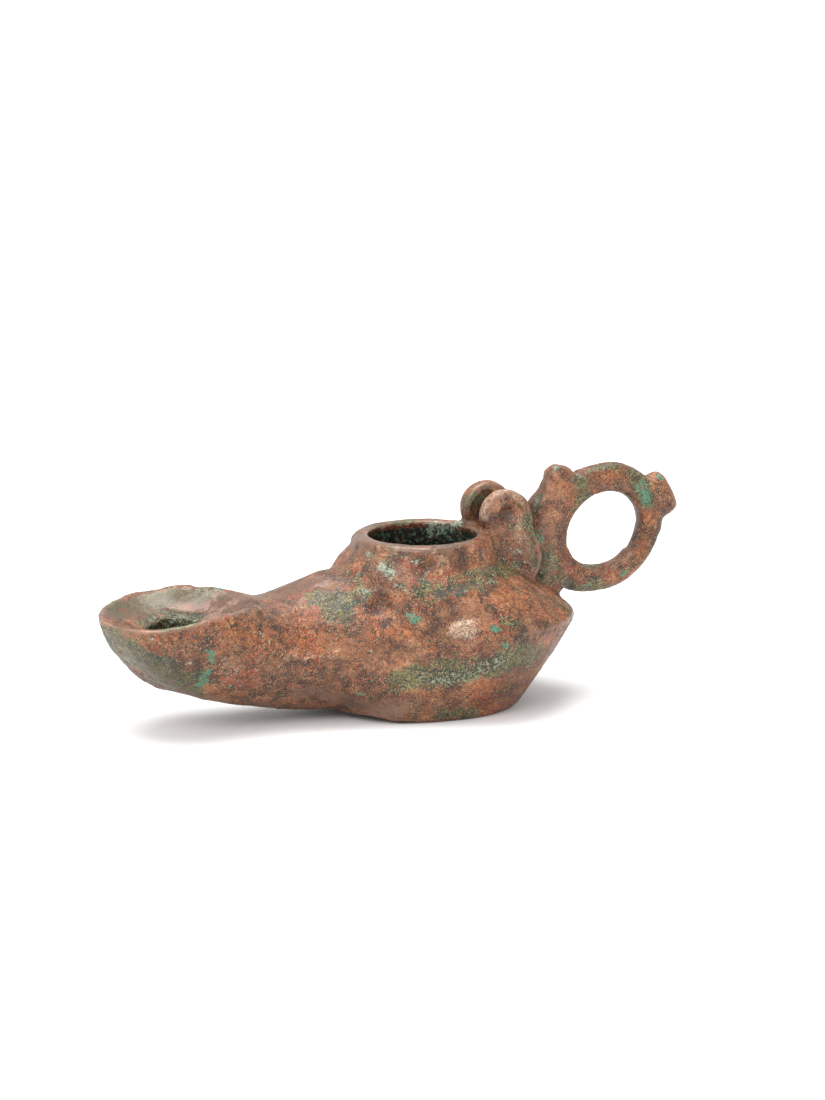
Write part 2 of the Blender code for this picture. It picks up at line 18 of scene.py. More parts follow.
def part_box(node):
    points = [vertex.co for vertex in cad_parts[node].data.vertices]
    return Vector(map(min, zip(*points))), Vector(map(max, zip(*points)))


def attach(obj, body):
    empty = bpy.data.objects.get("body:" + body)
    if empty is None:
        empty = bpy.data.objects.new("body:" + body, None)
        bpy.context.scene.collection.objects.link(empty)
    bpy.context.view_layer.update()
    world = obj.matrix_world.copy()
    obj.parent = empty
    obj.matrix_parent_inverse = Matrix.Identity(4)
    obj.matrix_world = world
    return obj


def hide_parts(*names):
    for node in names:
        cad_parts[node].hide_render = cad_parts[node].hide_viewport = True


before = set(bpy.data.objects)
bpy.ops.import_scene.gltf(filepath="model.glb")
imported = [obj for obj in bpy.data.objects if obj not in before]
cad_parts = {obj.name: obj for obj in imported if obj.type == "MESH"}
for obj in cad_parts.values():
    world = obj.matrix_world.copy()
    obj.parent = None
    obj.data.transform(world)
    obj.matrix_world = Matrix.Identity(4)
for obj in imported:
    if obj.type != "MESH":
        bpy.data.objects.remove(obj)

log = logging.getLogger("lamp")
MM = 0.001

Number = Union[float, "Wire"]
Value = Union[float, tuple, "Tone", "Wire"]


class Tone(Enum):
    """A colour of the lamp's skin, as hexadecimal red, green and blue."""

    BROWN = "96623a"
    RED_BROWN = "7a4830"
    DARK_BROWN = "503a29"
    MAUVE = "967767"
    PEACH = "dcae84"
    ORANGE = "b26a38"
    DEEP_RUST = "844a28"
    BRICK = "bc4a2f"
    PINK = "c28664"
    BLUSH = "e8c8aa"
    MOSS = "45432a"
    OLIVE = "837b48"
    PALE_OLIVE = "c2c198"
    GREY_OLIVE = "7f745f"
    EMERALD = "2c8a66"
    PALE_GREEN = "8db897"
    CHALK = "d0dac4"
    # Near-black of soot and dark crust, also used for painted shade in gaps, grooves and under rims.
    SOOT_AND_SHADE = "2b231c"
    DEEP_GREEN = "34423a"

    @property
    def linear(self) -> tuple[float, float, float, float]:
        """The colour as linear values, as a shader takes them.

        Returns:
            Red, green, blue and 1 for opaque.
        """
        shares = [int(self.value[i : i + 2], 16) / 255 for i in (0, 2, 4)]
        red, green, blue = (s / 12.92 if s <= 0.04045 else ((s + 0.055) / 1.055) ** 2.4 for s in shares)
        return red, green, blue, 1.0


class Patina(Enum):
    """A kind of corrosion or wear that lies in patches; some marks of the DARK, BLUSH, BARE and WORN kinds
    are painted shade, painted highlights and a painted reflection instead. Its value is the name of the
    mesh's attribute.
    """

    WORN = "worn"
    BARE = "bare"
    RUST = "rust"
    OLIVE = "olive"
    GREEN = "green"
    CHALK = "chalk"
    BRICK = "brick"
    BLUSH = "blush"
    DARK = "dark"


WORN, BARE, RUST, OLIVE, GREEN, CHALK, BRICK, BLUSH, DARK = Patina


@dataclass(frozen=True)
class Spot:
    """A point of the photograph, in its pixels."""

    across: float
    down: float


@dataclass(frozen=True)
class Mark:
    """A patch, lump, dent or line on the skin; some of the patches are painted shade and painted highlights.

    Args:
        name: What it is.
        patina: The kind of skin it has, or None where only the shape changes.
        path: The points of the photograph that it runs through, across and down in turn.
        breadth: Its half width in millimetres.
        strength: How far its patina covers what is under it.
        relief: How far its middle stands out in millimetres, or lies in where it is negative.
    """

    name: str
    patina: Patina | None
    path: tuple[float, ...]
    breadth: float
    strength: float = 1.0
    relief: float = 0.0


def spots(path: Sequence[float]) -> list[Spot]:
    """The points of a path, from across and down in turn."""
    return [Spot(across, down) for across, down in zip(path[::2], path[1::2])]


NECK_MARKS = (
    Mark(
        "worn near lip", WORN,
        (361, 534, 374, 542, 392, 547, 412, 549, 432, 549.5, 452, 547, 468, 542), 0.9, 1.0, 0.15,
    ),
    Mark("worn far lip", WORN, (363, 528, 380, 521, 400, 517.5, 425, 515.5, 450, 514.5), 0.9, 0.9),
    # The dark of this groove is painted shade under the lip's overhang; its depth is real relief.
    Mark(
        "groove under the lip", DARK,
        (357, 547, 372, 550, 392, 554, 412, 556, 432, 556.5, 452, 554, 472, 548), 0.55, 0.6, -0.25,
    ),
    Mark("smooth left side of the neck", WORN, (361, 536, 366, 548), 2.6, 0.9),
    Mark("hollow in the neck", DARK, (426.5, 564), 1.5, 0.75, -0.8),
    Mark("mauve ridge beside the hollow", BLUSH, (437, 557, 445, 561), 1.2, 0.5, 0.4),
    Mark("peach lump", BLUSH, (443, 568), 1.3, 0.6, 0.55),
    Mark("orange blob", RUST, (474, 551, 475, 568), 1.5, 1.0, 0.9),
    Mark("turquoise cluster", CHALK, (382, 566, 390, 573), 1.3, 0.8),
    Mark("white fleck", CHALK, (369, 552, 372, 558), 0.7, 0.9),
    Mark("whitish green fleck", CHALK, (412, 561, 417, 562), 0.6, 0.8),
    Mark("brick specks", BRICK, (397, 564, 417, 569), 1.3, 0.75),
    Mark("brick specks below", BRICK, (434, 580, 442, 583), 1.0, 0.7),
    Mark("red left edge", RUST, (360, 556, 358, 566), 1.3, 0.8),
    Mark("dark teal edge", GREEN, (357, 577), 0.9, 0.6),
    Mark("blush below the rim", BLUSH, (385, 557, 404, 559), 1.2, 0.35),
    Mark("rust right of the blob", RUST, (486, 545, 490, 558), 1.5, 0.7),
)

SHOULDER_MARKS = (
    Mark("olive under the neck", OLIVE, (428, 592, 452, 588, 478, 580), 2.0, 1.0, -0.1),
    Mark("dark in that olive", DARK, (436, 594, 456, 590, 474, 583), 1.2, 0.9, -0.1),
    Mark("dark beside the dent", DARK, (340, 606, 362, 602), 1.3, 0.6),
    Mark("olive beside the lug", OLIVE, (486, 574, 512, 570), 1.8, 0.9),
    Mark("dark green patch", DARK, (484, 592, 496, 588), 1.5, 0.7, -0.15),
    Mark("dark patch", DARK, (446, 600, 455, 597), 1.1, 0.6),
    Mark("turquoise speck", CHALK, (491, 581, 495, 582), 0.6, 0.9),
    Mark("olive on the nozzle root", OLIVE, (312, 598, 338, 600, 362, 594), 1.8, 0.9),
    Mark("light olive below it", OLIVE, (328, 612, 345, 614), 1.8, 0.6),
    Mark("green flecks", CHALK, (362, 591, 369, 592), 0.9, 0.7),
    Mark("green flecks by the neck", CHALK, (398, 588, 404, 589), 0.8, 0.7),
    Mark("dent", DARK, (381, 605), 2.6, 0.75, -0.9),
    Mark("brown bottom of the dent", WORN, (380, 604, 382, 608), 1.5, 0.35),
    # Painted shade along the dent's upper wall.
    Mark("dark upper edge of the dent", DARK, (371, 601, 376, 596, 386, 596), 0.8, 0.75),
    Mark("rust in the dent", RUST, (381, 606), 1.9, 0.75),
    Mark("dark lower edge of the dent", DARK, (374, 620, 388, 622), 0.8, 0.75),
    Mark("rim of the dent", BLUSH, (370, 594, 381, 590, 392, 594), 0.7, 0.4, 0.2),
    Mark("orange left of the dent", RUST, (356, 612, 362, 624), 1.2, 0.85),
    Mark("emerald spot", GREEN, (411, 618, 416, 620), 1.0, 1.0, 0.1),
    # The pale of this lump is a painted highlight on its crown; its rise is real relief.
    Mark("pale lump", BLUSH, (456, 631, 464, 629, 472, 629), 1.9, 0.9, 0.8),
    Mark("smooth brown below the lump", BARE, (455, 643, 477, 643), 1.1, 0.7, -0.15),
    Mark("pink copper", BARE, (467, 608, 483, 617), 2.3, 0.95),
    Mark("orange shoulder", RUST, (508, 600, 530, 605, 552, 610), 3.4, 0.9),
    Mark("orange above the copper", RUST, (470, 592, 476, 598), 1.2, 0.8, 0.15),
    Mark("grey green patch", OLIVE, (505, 621, 515, 622), 1.3, 0.8),
    Mark("dark beside the copper", DARK, (489, 608, 494, 613), 1.1, 0.6),
    Mark("white dot", BLUSH, (507.5, 606), 0.45, 1.0, 0.1),
    Mark("lower white dot", BLUSH, (500, 613.5), 0.45, 1.0, 0.1),
    Mark("emerald patch right", GREEN, (493, 628, 497, 628), 0.7),
    Mark("rust around the keel", RUST, (300, 640, 345, 640, 400, 635), 2.6, 0.5),
    Mark("arris down the side", None, (358, 592, 366, 618, 371, 645), 1.0, 1.0, 0.22),
)

FLANK_MARKS = (
    Mark("dark hollow of the nozzle root", DARK, (264, 618, 280, 628, 292, 640), 2.0, 0.5, -0.25),
    Mark("dark brown under the keel", DARK, (500, 638, 530, 634, 560, 626), 1.2, 0.5),
    Mark("dark between lump and shoulder", DARK, (430, 640, 440, 612, 450, 604), 1.3, 0.45, -0.2),
    Mark("smooth brown belly", WORN, (300, 690, 350, 704, 400, 710), 2.4, 0.6),
    Mark("pale speckled belly", BARE, (330, 640, 352, 650, 372, 662), 2.6, 0.6),
    Mark("rosy crust by the keel", BRICK, (330, 628, 350, 632), 2.0, 0.7, 0.1),
    Mark("peach highlight on the ridge", BLUSH, (288, 656, 312, 655, 338, 655), 1.2, 0.5, 0.5),
    Mark("olive band", OLIVE, (404, 678, 445, 674, 490, 665, 536, 652), 2.5),
    Mark("pale crust on the band", CHALK, (424, 680, 448, 680, 470, 674, 500, 662), 1.6, 0.55),
    Mark("red under the band", RUST, (430, 694, 470, 690, 500, 682), 1.6, 0.6),
    Mark("whitish specks on the band", CHALK, (462, 678, 470, 677), 0.9, 0.6),
    Mark("olive at the base", OLIVE, (444, 714, 476, 713), 1.4, 0.8),
    Mark("emerald near the band", GREEN, (505, 645, 508, 645), 0.7),
    Mark("emerald low", GREEN, (360, 694), 0.7),
    Mark("dark green fleck", GREEN, (343, 677), 0.6, 0.8),
    Mark("dark green fleck right", GREEN, (373, 679), 0.6, 0.8),
    Mark("white speck", CHALK, (370.5, 650), 0.55, 1.0, 0.1),
    Mark("whitish fleck", CHALK, (378, 678), 0.5, 0.9),
    Mark("brown shade under the ridge", DARK, (290, 668, 335, 668), 1.5, 0.5, -0.3),
    Mark("red specks at the keel", BRICK, (291, 685, 297, 685), 1.0, 0.7),
)

NOZZLE_MARKS = (
    Mark("smooth grey olive flank", OLIVE, (112, 642, 150, 664, 188, 686), 4.4, 0.85),
    # Painted shade: the flank under the dish's rim turns down and away from the light.
    Mark("dark flank", DARK, (108, 640, 150, 660, 190, 676), 3.6, 0.62),
    Mark("dark olive under the rim", DARK, (112, 640, 135, 650), 2.0, 0.5),
    Mark("smooth skin of the flank", WORN, (118, 645, 150, 668, 190, 695), 4.6, 0.55),
    # The lighter tone of this lower edge is a painted reflection of the pale floor.
    Mark("smooth lower edge", WORN, (190, 700, 260, 705, 330, 712), 1.8, 0.7),
    Mark("turquoise spot", GREEN, (211, 653, 211, 660), 1.0, 1.0, 0.1),
    Mark("turquoise streak", GREEN, (209, 672, 199, 686), 0.9),
    Mark("small green spot", GREEN, (182, 682), 0.6, 0.7),
    Mark("green spot near the keel", GREEN, (229, 685), 0.7, 0.7),
    Mark("light turquoise fleck", CHALK, (151, 638, 153, 641), 0.5, 0.9),
    Mark("pink speck", BLUSH, (189, 661), 0.8, 0.8, 0.1),
    Mark("red and pink crust", BRICK, (232, 665, 250, 660, 252, 678), 1.8, 0.5),
    Mark("chalk in the crust", CHALK, (222, 664, 236, 668), 1.4, 0.5),
    Mark("rust on the root", RUST, (236, 625, 262, 640, 290, 625), 4.0, 0.6),
    Mark("dark speckle on the root", DARK, (240, 628, 262, 622), 1.8, 0.35),
    Mark("grey flecks on the root", CHALK, (258, 632, 266, 640), 1.5, 0.45),
    Mark("orange under the rim", RUST, (160, 638, 200, 636), 1.2, 0.6),
    Mark("smooth top of the root", WORN, (255, 598, 290, 590, 320, 582), 2.6, 0.9),
    Mark("dark spot low", DARK, (284, 684), 1.2, 0.5),
)

DISH_MARKS = (
    Mark("smooth floor of the dish", WORN, (108, 612, 136, 606, 160, 600, 200, 600, 235, 602), 3.2, 0.9),
    Mark("grey of the floor", OLIVE, (112, 613, 132, 612), 2.6, 0.5),
    # Painted highlight on the slope behind the wick hole, which faces the light.
    Mark("light striped slope", BLUSH, (206, 618, 226, 608, 244, 598), 1.4, 0.55),
    Mark("green crescent", OLIVE, (146, 624, 166, 619, 181, 618, 198, 618), 2.1),
    Mark("green in the crescent", GREEN, (148, 625, 156, 624), 0.7, 0.6),
    Mark("chalk in the crescent", CHALK, (164, 622, 181, 620, 196, 620), 1.0, 0.6),
    # Painted shadow under the far rim of the wick hole.
    Mark("dark far edge of the wick hole", DARK, (156, 613, 175, 611, 198, 613), 0.9),
    Mark("brown far wall of the dish", OLIVE, (120, 605, 150, 599, 190, 596, 225, 597), 1.7, 0.7),
    Mark("yellowish patch", OLIVE, (147, 602, 158, 606), 1.4, 0.75),
    Mark("nub at the wick hole", BLUSH, (165, 612), 0.8, 0.7, 0.2),
    # Smooth skin on the slope behind the wick hole, drawn bright as a painted highlight.
    Mark("bright slope behind the hole", WORN, (204, 620, 225, 610, 244, 600), 1.5, 0.9),
    Mark("olive at the far rim", OLIVE, (190, 594, 215, 595, 236, 596), 1.3, 0.7),
    Mark("green at the back of the rim", GREEN, (234, 597), 0.6, 0.8),
    Mark("dark lower wall", DARK, (150, 616, 147, 622), 1.0, 0.6),
)

HANDLE_MARKS = (
    # Pale pink skin on the post and lug, drawn lighter also as a painted highlight where their fronts face
    # the light.
    Mark("pale front of the post", BARE, (560, 485, 552, 510, 546, 545), 2.2, 0.55),
    Mark("pale front of the lug", BARE, (497, 500, 512, 522, 520, 545), 2.6, 0.45),
    Mark("worn line at the lug's foot", RUST, (537, 551, 538.5, 561, 538, 571), 1.3, 0.6, -0.6),
    Mark("filled corner beside the lug's foot", OLIVE, (546, 552, 546, 563, 544, 573), 1.9, 0.7, 0.6),
    Mark("lump at the lug's foot", RUST, (540, 556), 1.8, 0.6, 0.15),
    # Painted shade on the post's shadowed left side, along the groove.
    Mark("groove beside the post", DARK, (540, 490, 536, 515, 534, 540), 0.8, 0.5, -0.3),
    Mark("shaded inside of the ring", DARK, (628, 496, 638, 514, 635, 533, 613, 556, 592, 565), 1.3),
    Mark("green on the horn", GREEN, (554, 469, 557, 469), 0.7, 0.9),
    Mark("pale green below the horn", CHALK, (574, 474, 580, 476), 0.7, 0.7),
    Mark("olive on the notch", OLIVE, (582, 480, 584, 488), 1.1, 0.9),
    Mark("green on the notch", GREEN, (583, 486, 578, 498), 0.6, 0.6),
    Mark("orange on the post", RUST, (562, 483, 571, 488), 1.4, 0.8),
    Mark("olive behind the lugs", OLIVE, (537, 495, 536, 506), 1.2, 0.9),
    # Painted shade in the gap between the near lug and the post.
    Mark("dark behind the lugs", DARK, (536, 505, 537, 512), 0.9, 0.8),
    Mark("turquoise between lug and post", GREEN, (538, 530, 540, 542), 0.8, 0.7),
    Mark("olive between lug and post", OLIVE, (528, 520, 534, 535, 530, 552), 1.2, 0.7),
    Mark("pin recess", DARK, (505, 512), 1.7, 1.0, -0.9),
    Mark("dark red around the pin", BRICK, (503, 509, 510, 513), 1.6, 0.6),
    # The pale of the lug's raised border is a painted highlight on its rim; the rise is real relief.
    Mark(
        "raised border of the lug", BLUSH,
        (484, 519, 486, 503, 497, 493, 511, 493, 522, 503), 1.0, 0.7, 0.55,
    ),
    Mark("pale speckle on the lug", BLUSH, (516, 520, 520, 536), 1.9, 0.55, 0.45),
    Mark("green in the pin recess", CHALK, (503, 516), 0.7, 0.9),
    Mark("white spot left of the pin", BLUSH, (492.5, 511), 0.6, 0.9),
    Mark("white spot right of the pin", CHALK, (518.5, 505), 0.6, 0.9),
    Mark("pale green at the lug root", CHALK, (513, 551, 520, 551), 0.7, 0.7),
    Mark("olive on the lug", OLIVE, (514, 530, 524, 522, 527, 515), 1.1, 0.6),
    Mark("turquoise lug edge", CHALK, (481, 518, 480, 534), 0.7, 0.7),
    Mark("orange top of the far lug", RUST, (465, 492, 475, 483, 490, 481), 1.0, 0.7),
    Mark("olive inner face of the far lug", OLIVE, (470, 497, 478, 500), 1.5, 0.8),
    # Painted highlight along the crest of the ridge of the root.
    Mark("ridge of the root", BLUSH, (526, 562, 545, 577, 566, 590), 1.0, 0.6, 0.2),
    Mark("groove under the ridge", OLIVE, (535, 560, 552, 573, 570, 586), 1.1, 0.8, -0.15),
    Mark("green beside the knob", GREEN, (643, 486, 647, 500), 1.3, 0.75),
    Mark("dark olive beside the knob", OLIVE, (640, 480, 648, 502), 2.0, 0.9),
    Mark("green on the knob's top", GREEN, (656, 474, 661, 477), 0.8, 0.8),
    Mark("olive along the ring's top", OLIVE, (590, 470, 602, 466, 614, 466), 1.0, 0.7),
    Mark("orange on the ring's top", RUST, (600, 474, 622, 476), 1.6, 0.8),
    Mark("orange on the ring's right", RUST, (652, 515, 650, 535, 640, 552), 1.6, 0.7),
    Mark("dark olive under the ring", OLIVE, (578, 590, 592, 592, 608, 588), 1.3, 0.9),
    Mark("green low on the ring", GREEN, (622, 569, 628, 571), 0.7, 0.8),
    Mark("olive on the ring foot", OLIVE, (552, 562, 560, 572), 1.3, 0.8),
    Mark("green on the ring foot", GREEN, (585, 586, 590, 581), 0.9, 0.6),
    Mark("red specks on the ring foot", BRICK, (565, 565, 569, 570), 1.0, 0.6),
    Mark("dark ring foot", DARK, (580, 572, 600, 578), 1.0, 0.35),
)

INSIDE_MARKS = (
    Mark("turquoise on the far wall", CHALK, (432, 530, 446, 526, 458, 523), 1.4, 0.95),
    Mark("olive top of the far wall", OLIVE, (376, 526, 392, 522, 412, 520, 436, 518, 456, 517), 1.0, 0.75),
    Mark("brown on the far wall", RUST, (388, 525, 400, 523, 416, 522), 0.9, 0.8),
    Mark("teal on the left wall", GREEN, (381, 534, 384, 537), 1.0, 0.6),
)

MARKS = NECK_MARKS + SHOULDER_MARKS + FLANK_MARKS + NOZZLE_MARKS + DISH_MARKS + HANDLE_MARKS + INSIDE_MARKS


@dataclass(frozen=True)
class Bend:
    """A small shift of a part of the casting that isn't true, along the lamp's middle plane.

    Args:
        name: What is shifted.
        path: The points of the photograph that it lies along, across and down in turn, in the middle plane.
        breadth: How far from the path the shift fades out, in millimetres.
        shift: The shift along X and along Z in millimetres.
        side: 1 if only the far side is shifted, -1 if only the near side is, 0 for both.
    """

    name: str
    path: tuple[float, ...]
    breadth: float
    shift: tuple[float, float]
    side: int = 0


BENDS = (
    Bend(
        "lower edge of the finger hole",
        (566, 553, 576, 564, 592, 570, 607, 566, 622, 553), 2.2, (0.0, 1.0),
    ),
    Bend("front edge of the post", (531, 520, 534, 506), 3.4, (-0.8, 0.0)),
    Bend("slope of the horn", (535, 486, 540, 478), 3.4, (1.1, 0.0)),
    Bend("notch behind the horn", (570, 474, 573, 484), 3.0, (0.9, 0.3)),
    Bend("nozzle end of the foot", (346, 711), 6.0, (0.0, 0.8)),
    Bend("far rim and spine", (200, 590, 245, 597, 290, 588, 318, 574), 5.0, (0.0, 0.8), 1),
    Bend("near rim behind the hole", (210, 615, 232, 608), 3.0, (0.0, -0.6), -1),
)


@dataclass(frozen=True)
class Scatter:
    """Patches at chance places on the sides that the photograph doesn't show.

    Args:
        patina: The kind of skin they have.
        count: How many there are.
        breadth: The smallest and the largest half width in millimetres.
        strength: How far they cover what is under them.
        relief: How far the middle of each stands out at most, in millimetres.
    """

    patina: Patina
    count: int
    breadth: tuple[float, float]
    strength: float
    relief: float


SCATTERS = (
    Scatter(RUST, 34, (1.2, 3.6), 0.8, 0.1),
    Scatter(OLIVE, 30, (1.2, 3.8), 0.9, 0.0),
    Scatter(BARE, 14, (1.0, 2.6), 0.8, -0.2),
    Scatter(GREEN, 26, (0.5, 1.1), 0.9, 0.1),
    Scatter(CHALK, 26, (0.5, 1.2), 0.7, 0.05),
    Scatter(BRICK, 16, (0.8, 1.6), 0.6, 0.0),
    Scatter(BLUSH, 10, (0.6, 1.4), 0.6, 0.25),
    Scatter(DARK, 16, (0.7, 1.5), 0.5, -0.1),
    Scatter(WORN, 12, (1.8, 4.0), 0.8, 0.0),
)


def smooth_step(low: float, high: float, value: np.ndarray) -> np.ndarray:
    """0 where value is below low, 1 above high, and an even curve between them."""
    share = np.clip((value - low) / (high - low), 0.0, 1.0)
    return share * share * (3.0 - 2.0 * share)


@dataclass(frozen=True)
class Ramp:
    """A stretch of a measure over which something sets in.

    Args:
        start: Where it begins.
        full: Where it is whole.
    """

    start: float
    full: float

    def share(self, value: np.ndarray) -> np.ndarray:
        """How far it has set in at each value, from 0 to 1."""
        return smooth_step(self.start, self.full, value)


@dataclass(frozen=True)
class Unevenness:
    """Bumps of one kind.

    Args:
        size: The distance from one to the next.
        height: How far they shift the skin.
    """

    size: float
    height: float


class Grain:
    """Seeded gradient noise in space, the same on each run."""

    CELLS = 256

    def __init__(self, seed: int) -> None:
        """Draws the slopes of the noise.

        Args:
            seed: What the noise is drawn from.
        """
        maker = np.random.default_rng(seed)
        self.order = np.tile(maker.permutation(self.CELLS), 2)
        slopes = maker.normal(size=(self.CELLS, 3))
        self.slopes = slopes / np.linalg.norm(slopes, axis=1, keepdims=True)

    def at(self, points: np.ndarray, size: float) -> np.ndarray:
        """The noise at points.

        Args:
            points: One point a row.
            size: The distance from one bump to the next.

        Returns:
            A value for each point, about -1 to 1.
        """
        place = points / size
        cell = np.floor(place).astype(int)
        part = place - cell
        fade = part**3 * (part * (part * 6.0 - 15.0) + 10.0)
        total = np.zeros(len(points))
        for corner in np.ndindex(2, 2, 2):
            x, y, z = ((cell + corner) % self.CELLS).T
            slope = self.slopes[self.order[self.order[self.order[x] + y] + z]]
            share = np.where(np.array(corner) == 1, fade, 1.0 - fade).prod(axis=1)
            total += share * ((part - corner) * slope).sum(axis=1)
        return total * 1.7

    def layered(self, points: np.ndarray, size: float, layers: int) -> np.ndarray:
        """Noise with finer and weaker noise on it.

        Args:
            points: One point a row.
            size: The distance between the largest bumps.
            layers: How many sizes of bump there are, each half the one before.

        Returns:
            A value for each point, about -1 to 1.
        """
        total = np.zeros(len(points))
        for layer in range(layers):
            total += self.at(points + layer * 0.37, size / 2**layer) / 2**layer
        return total / (2.0 - 0.5 ** (layers - 1))


@dataclass(frozen=True)
class Viewpoint:
    """Where the photograph was taken from.

    Args:
        azimuth: The turn round the lamp, in degrees from straight in front of it.
        elevation: The height above the horizon, in degrees.
        distance: How far the camera is from its aim.
        lens: The focal length in millimetres, on a sensor as long as the image's longer side.
        sensor: The length of that side in millimetres.
        aim: The point in the middle of the image.
        width: The image's width in pixels.
        height: The image's height in pixels.
    """

    azimuth: float = -22.5
    elevation: float = 12.7
    distance: float = 0.750
    lens: float = 125.18
    sensor: float = 36.0
    aim: tuple[float, float, float] = (-0.00407, 0.0, 0.0309)
    width: int = 825
    height: int = 1100

    def back(self) -> Vector:
        """The way from the aim to the camera."""
        turn, rise = math.radians(self.azimuth), math.radians(self.elevation)
        return Vector((math.sin(turn) * math.cos(rise), -math.cos(turn) * math.cos(rise), math.sin(rise)))

    def eye(self) -> Vector:
        """The camera's place."""
        return Vector(self.aim) + self.back() * self.distance

    def sight(self, spot: Spot) -> Vector:
        """The way from the camera through a point of the photograph.

        Args:
            spot: The point of the photograph.

        Returns:
            The way, of length 1.
        """
        right = Vector((0.0, 0.0, 1.0)).cross(self.back()).normalized()
        up = self.back().cross(right)
        focal = self.lens / self.sensor * self.height
        across = (spot.across - self.width / 2) / focal
        down = (spot.down - self.height / 2) / focal
        return (right * across - up * down - self.back()).normalized()

    def in_middle(self, spot: Spot) -> Vector:
        """The point of the lamp's middle plane that a point of the photograph shows."""
        eye, sight = self.eye(), self.sight(spot)
        return eye - sight * (eye.y / sight.y)

    def add_camera(self) -> None:
        """Puts the scene's camera in place."""
        data = bpy.data.cameras.new("photo_camera")
        data.lens = self.lens
        data.sensor_width = self.sensor
        data.clip_start, data.clip_end = 0.05, 20.0
        camera = bpy.data.objects.new("photo_camera", data)
        camera.location = self.eye()
        camera.rotation_mode = "QUATERNION"
        camera.rotation_quaternion = (-self.back()).to_track_quat("-Z", "Y")
        bpy.context.scene.collection.objects.link(camera)
        bpy.context.scene.camera = camera


class Wire:
    """A socket that gives a value, on which arithmetic adds Math nodes."""

    def __init__(self, wiring: "Wiring", socket: bpy.types.NodeSocket) -> None:
        """Holds the socket and the wiring that it is in."""
        self.wiring = wiring
        self.socket = socket

    def _math(self, operation: str, first: Number, second: Number, clamp: bool = False) -> "Wire":
        """A Math node of two values."""
        settings = {"operation": operation, "use_clamp": clamp}
        return self.wiring.node("ShaderNodeMath", settings, {0: first, 1: second})

    def __add__(self, other: Number) -> "Wire":
        """self + other."""
        return self._math("ADD", self, other)

    __radd__ = __add__

    def __sub__(self, other: Number) -> "Wire":
        """self - other."""
        return self._math("SUBTRACT", self, other)

    def __rsub__(self, other: Number) -> "Wire":
        """other - self."""
        return self._math("SUBTRACT", other, self)

    def __mul__(self, other: Number) -> "Wire":
        """self * other."""
        return self._math("MULTIPLY", self, other)

    def most(self, other: Number) -> "Wire":
        """The larger of the two values."""
        return self._math("MAXIMUM", self, other)

    def limited(self) -> "Wire":
        """The value held between 0 and 1."""
        return self._math("ADD", self, 0.0, clamp=True)

    def rise(self, low: float, high: float) -> "Wire":
        """0 where the value is below low, 1 above high, and an even curve between them."""
        settings = {"interpolation_type": "SMOOTHSTEP"}
        return self.wiring.node("ShaderNodeMapRange", settings, {0: self, 1: low, 2: high, 3: 0.0, 4: 1.0})


class Wiring:
    """The node tree of one material."""

    def __init__(self, name: str) -> None:
        """Makes a material that has only its shader and its output.

        Args:
            name: The material's name.
        """
        self.material = bpy.data.materials.new(name)
        self.material.use_nodes = True
        self.tree = self.material.node_tree
        self.shader = self.tree.nodes["Principled BSDF"]

    def node(self, kind: str, settings: Mapping[str, Any], values: Mapping[Any, Value], out: Any = 0) -> Wire:
        """Adds a node.

        Args:
            kind: The node's type.
            settings: Its own settings, set before anything else.
            values: The value or link of each socket, by name or number.
            out: The socket that is wanted from it, by name or number.

        Returns:
            That socket.
        """
        made = self.tree.nodes.new(kind)
        for name, value in settings.items():
            setattr(made, name, value)
        for key, value in values.items():
            self.feed(made.inputs[key], value)
        return Wire(self, made.outputs[out])

    def feed(self, socket: bpy.types.NodeSocket, value: Value) -> None:
        """Links a wire to a socket, or sets its value or its tone.

        Args:
            socket: The socket.
            value: What it gets.
        """
        if isinstance(value, Wire):
            self.tree.links.new(value.socket, socket)
        else:
            socket.default_value = value.linear if isinstance(value, Tone) else value

    def set(self, **values: Value) -> None:
        """Feeds sockets of the shader. An underscore in a name stands for a space."""
        for name, value in values.items():
            self.feed(self.shader.inputs[name.replace("_", " ")], value)

    def blend(self, under: Value, over: Value, share: Number) -> Wire:
        """A colour between two others."""
        return self.node("ShaderNodeMix", {"data_type": "RGBA"}, {0: share, 6: under, 7: over}, out=2)

    def scaled(self, colour: Value, size: Number) -> Wire:
        """A colour or vector times a value."""
        return self.node("ShaderNodeVectorMath", {"operation": "SCALE"}, {"Vector": colour, "Scale": size})

    def attribute(self, name: str) -> Wire:
        """A value that the mesh carries."""
        settings = {"attribute_type": "GEOMETRY", "attribute_name": name}
        return self.node("ShaderNodeAttribute", settings, {}, out="Fac")

    def place(self) -> Wire:
        """The point of the piece that is shaded."""
        return self.node("ShaderNodeTexCoord", {}, {}, out="Object")

    def noises(self, place: Wire, size: float, detail: float, roughness: float) -> "Noises":
        """Three separate noises of one size.

        Args:
            place: The point to look at.
            size: The distance from one bump to the next.
            detail: How many finer noises lie on it.
            roughness: How strong those are.

        Returns:
            The noises.
        """
        values = {"Vector": place, "Scale": 1.0 / size, "Detail": detail, "Roughness": roughness}
        colour = self.node("ShaderNodeTexNoise", {"noise_dimensions": "3D"}, values, out="Color")
        part = self.node("ShaderNodeSeparateColor", {}, {0: colour})
        return Noises(*(Wire(self, socket) for socket in part.socket.node.outputs))


@dataclass(frozen=True)
class Noises:
    """Three separate noises of one size, each mostly from 0.3 to 0.7."""

    a: Wire
    b: Wire
    c: Wire


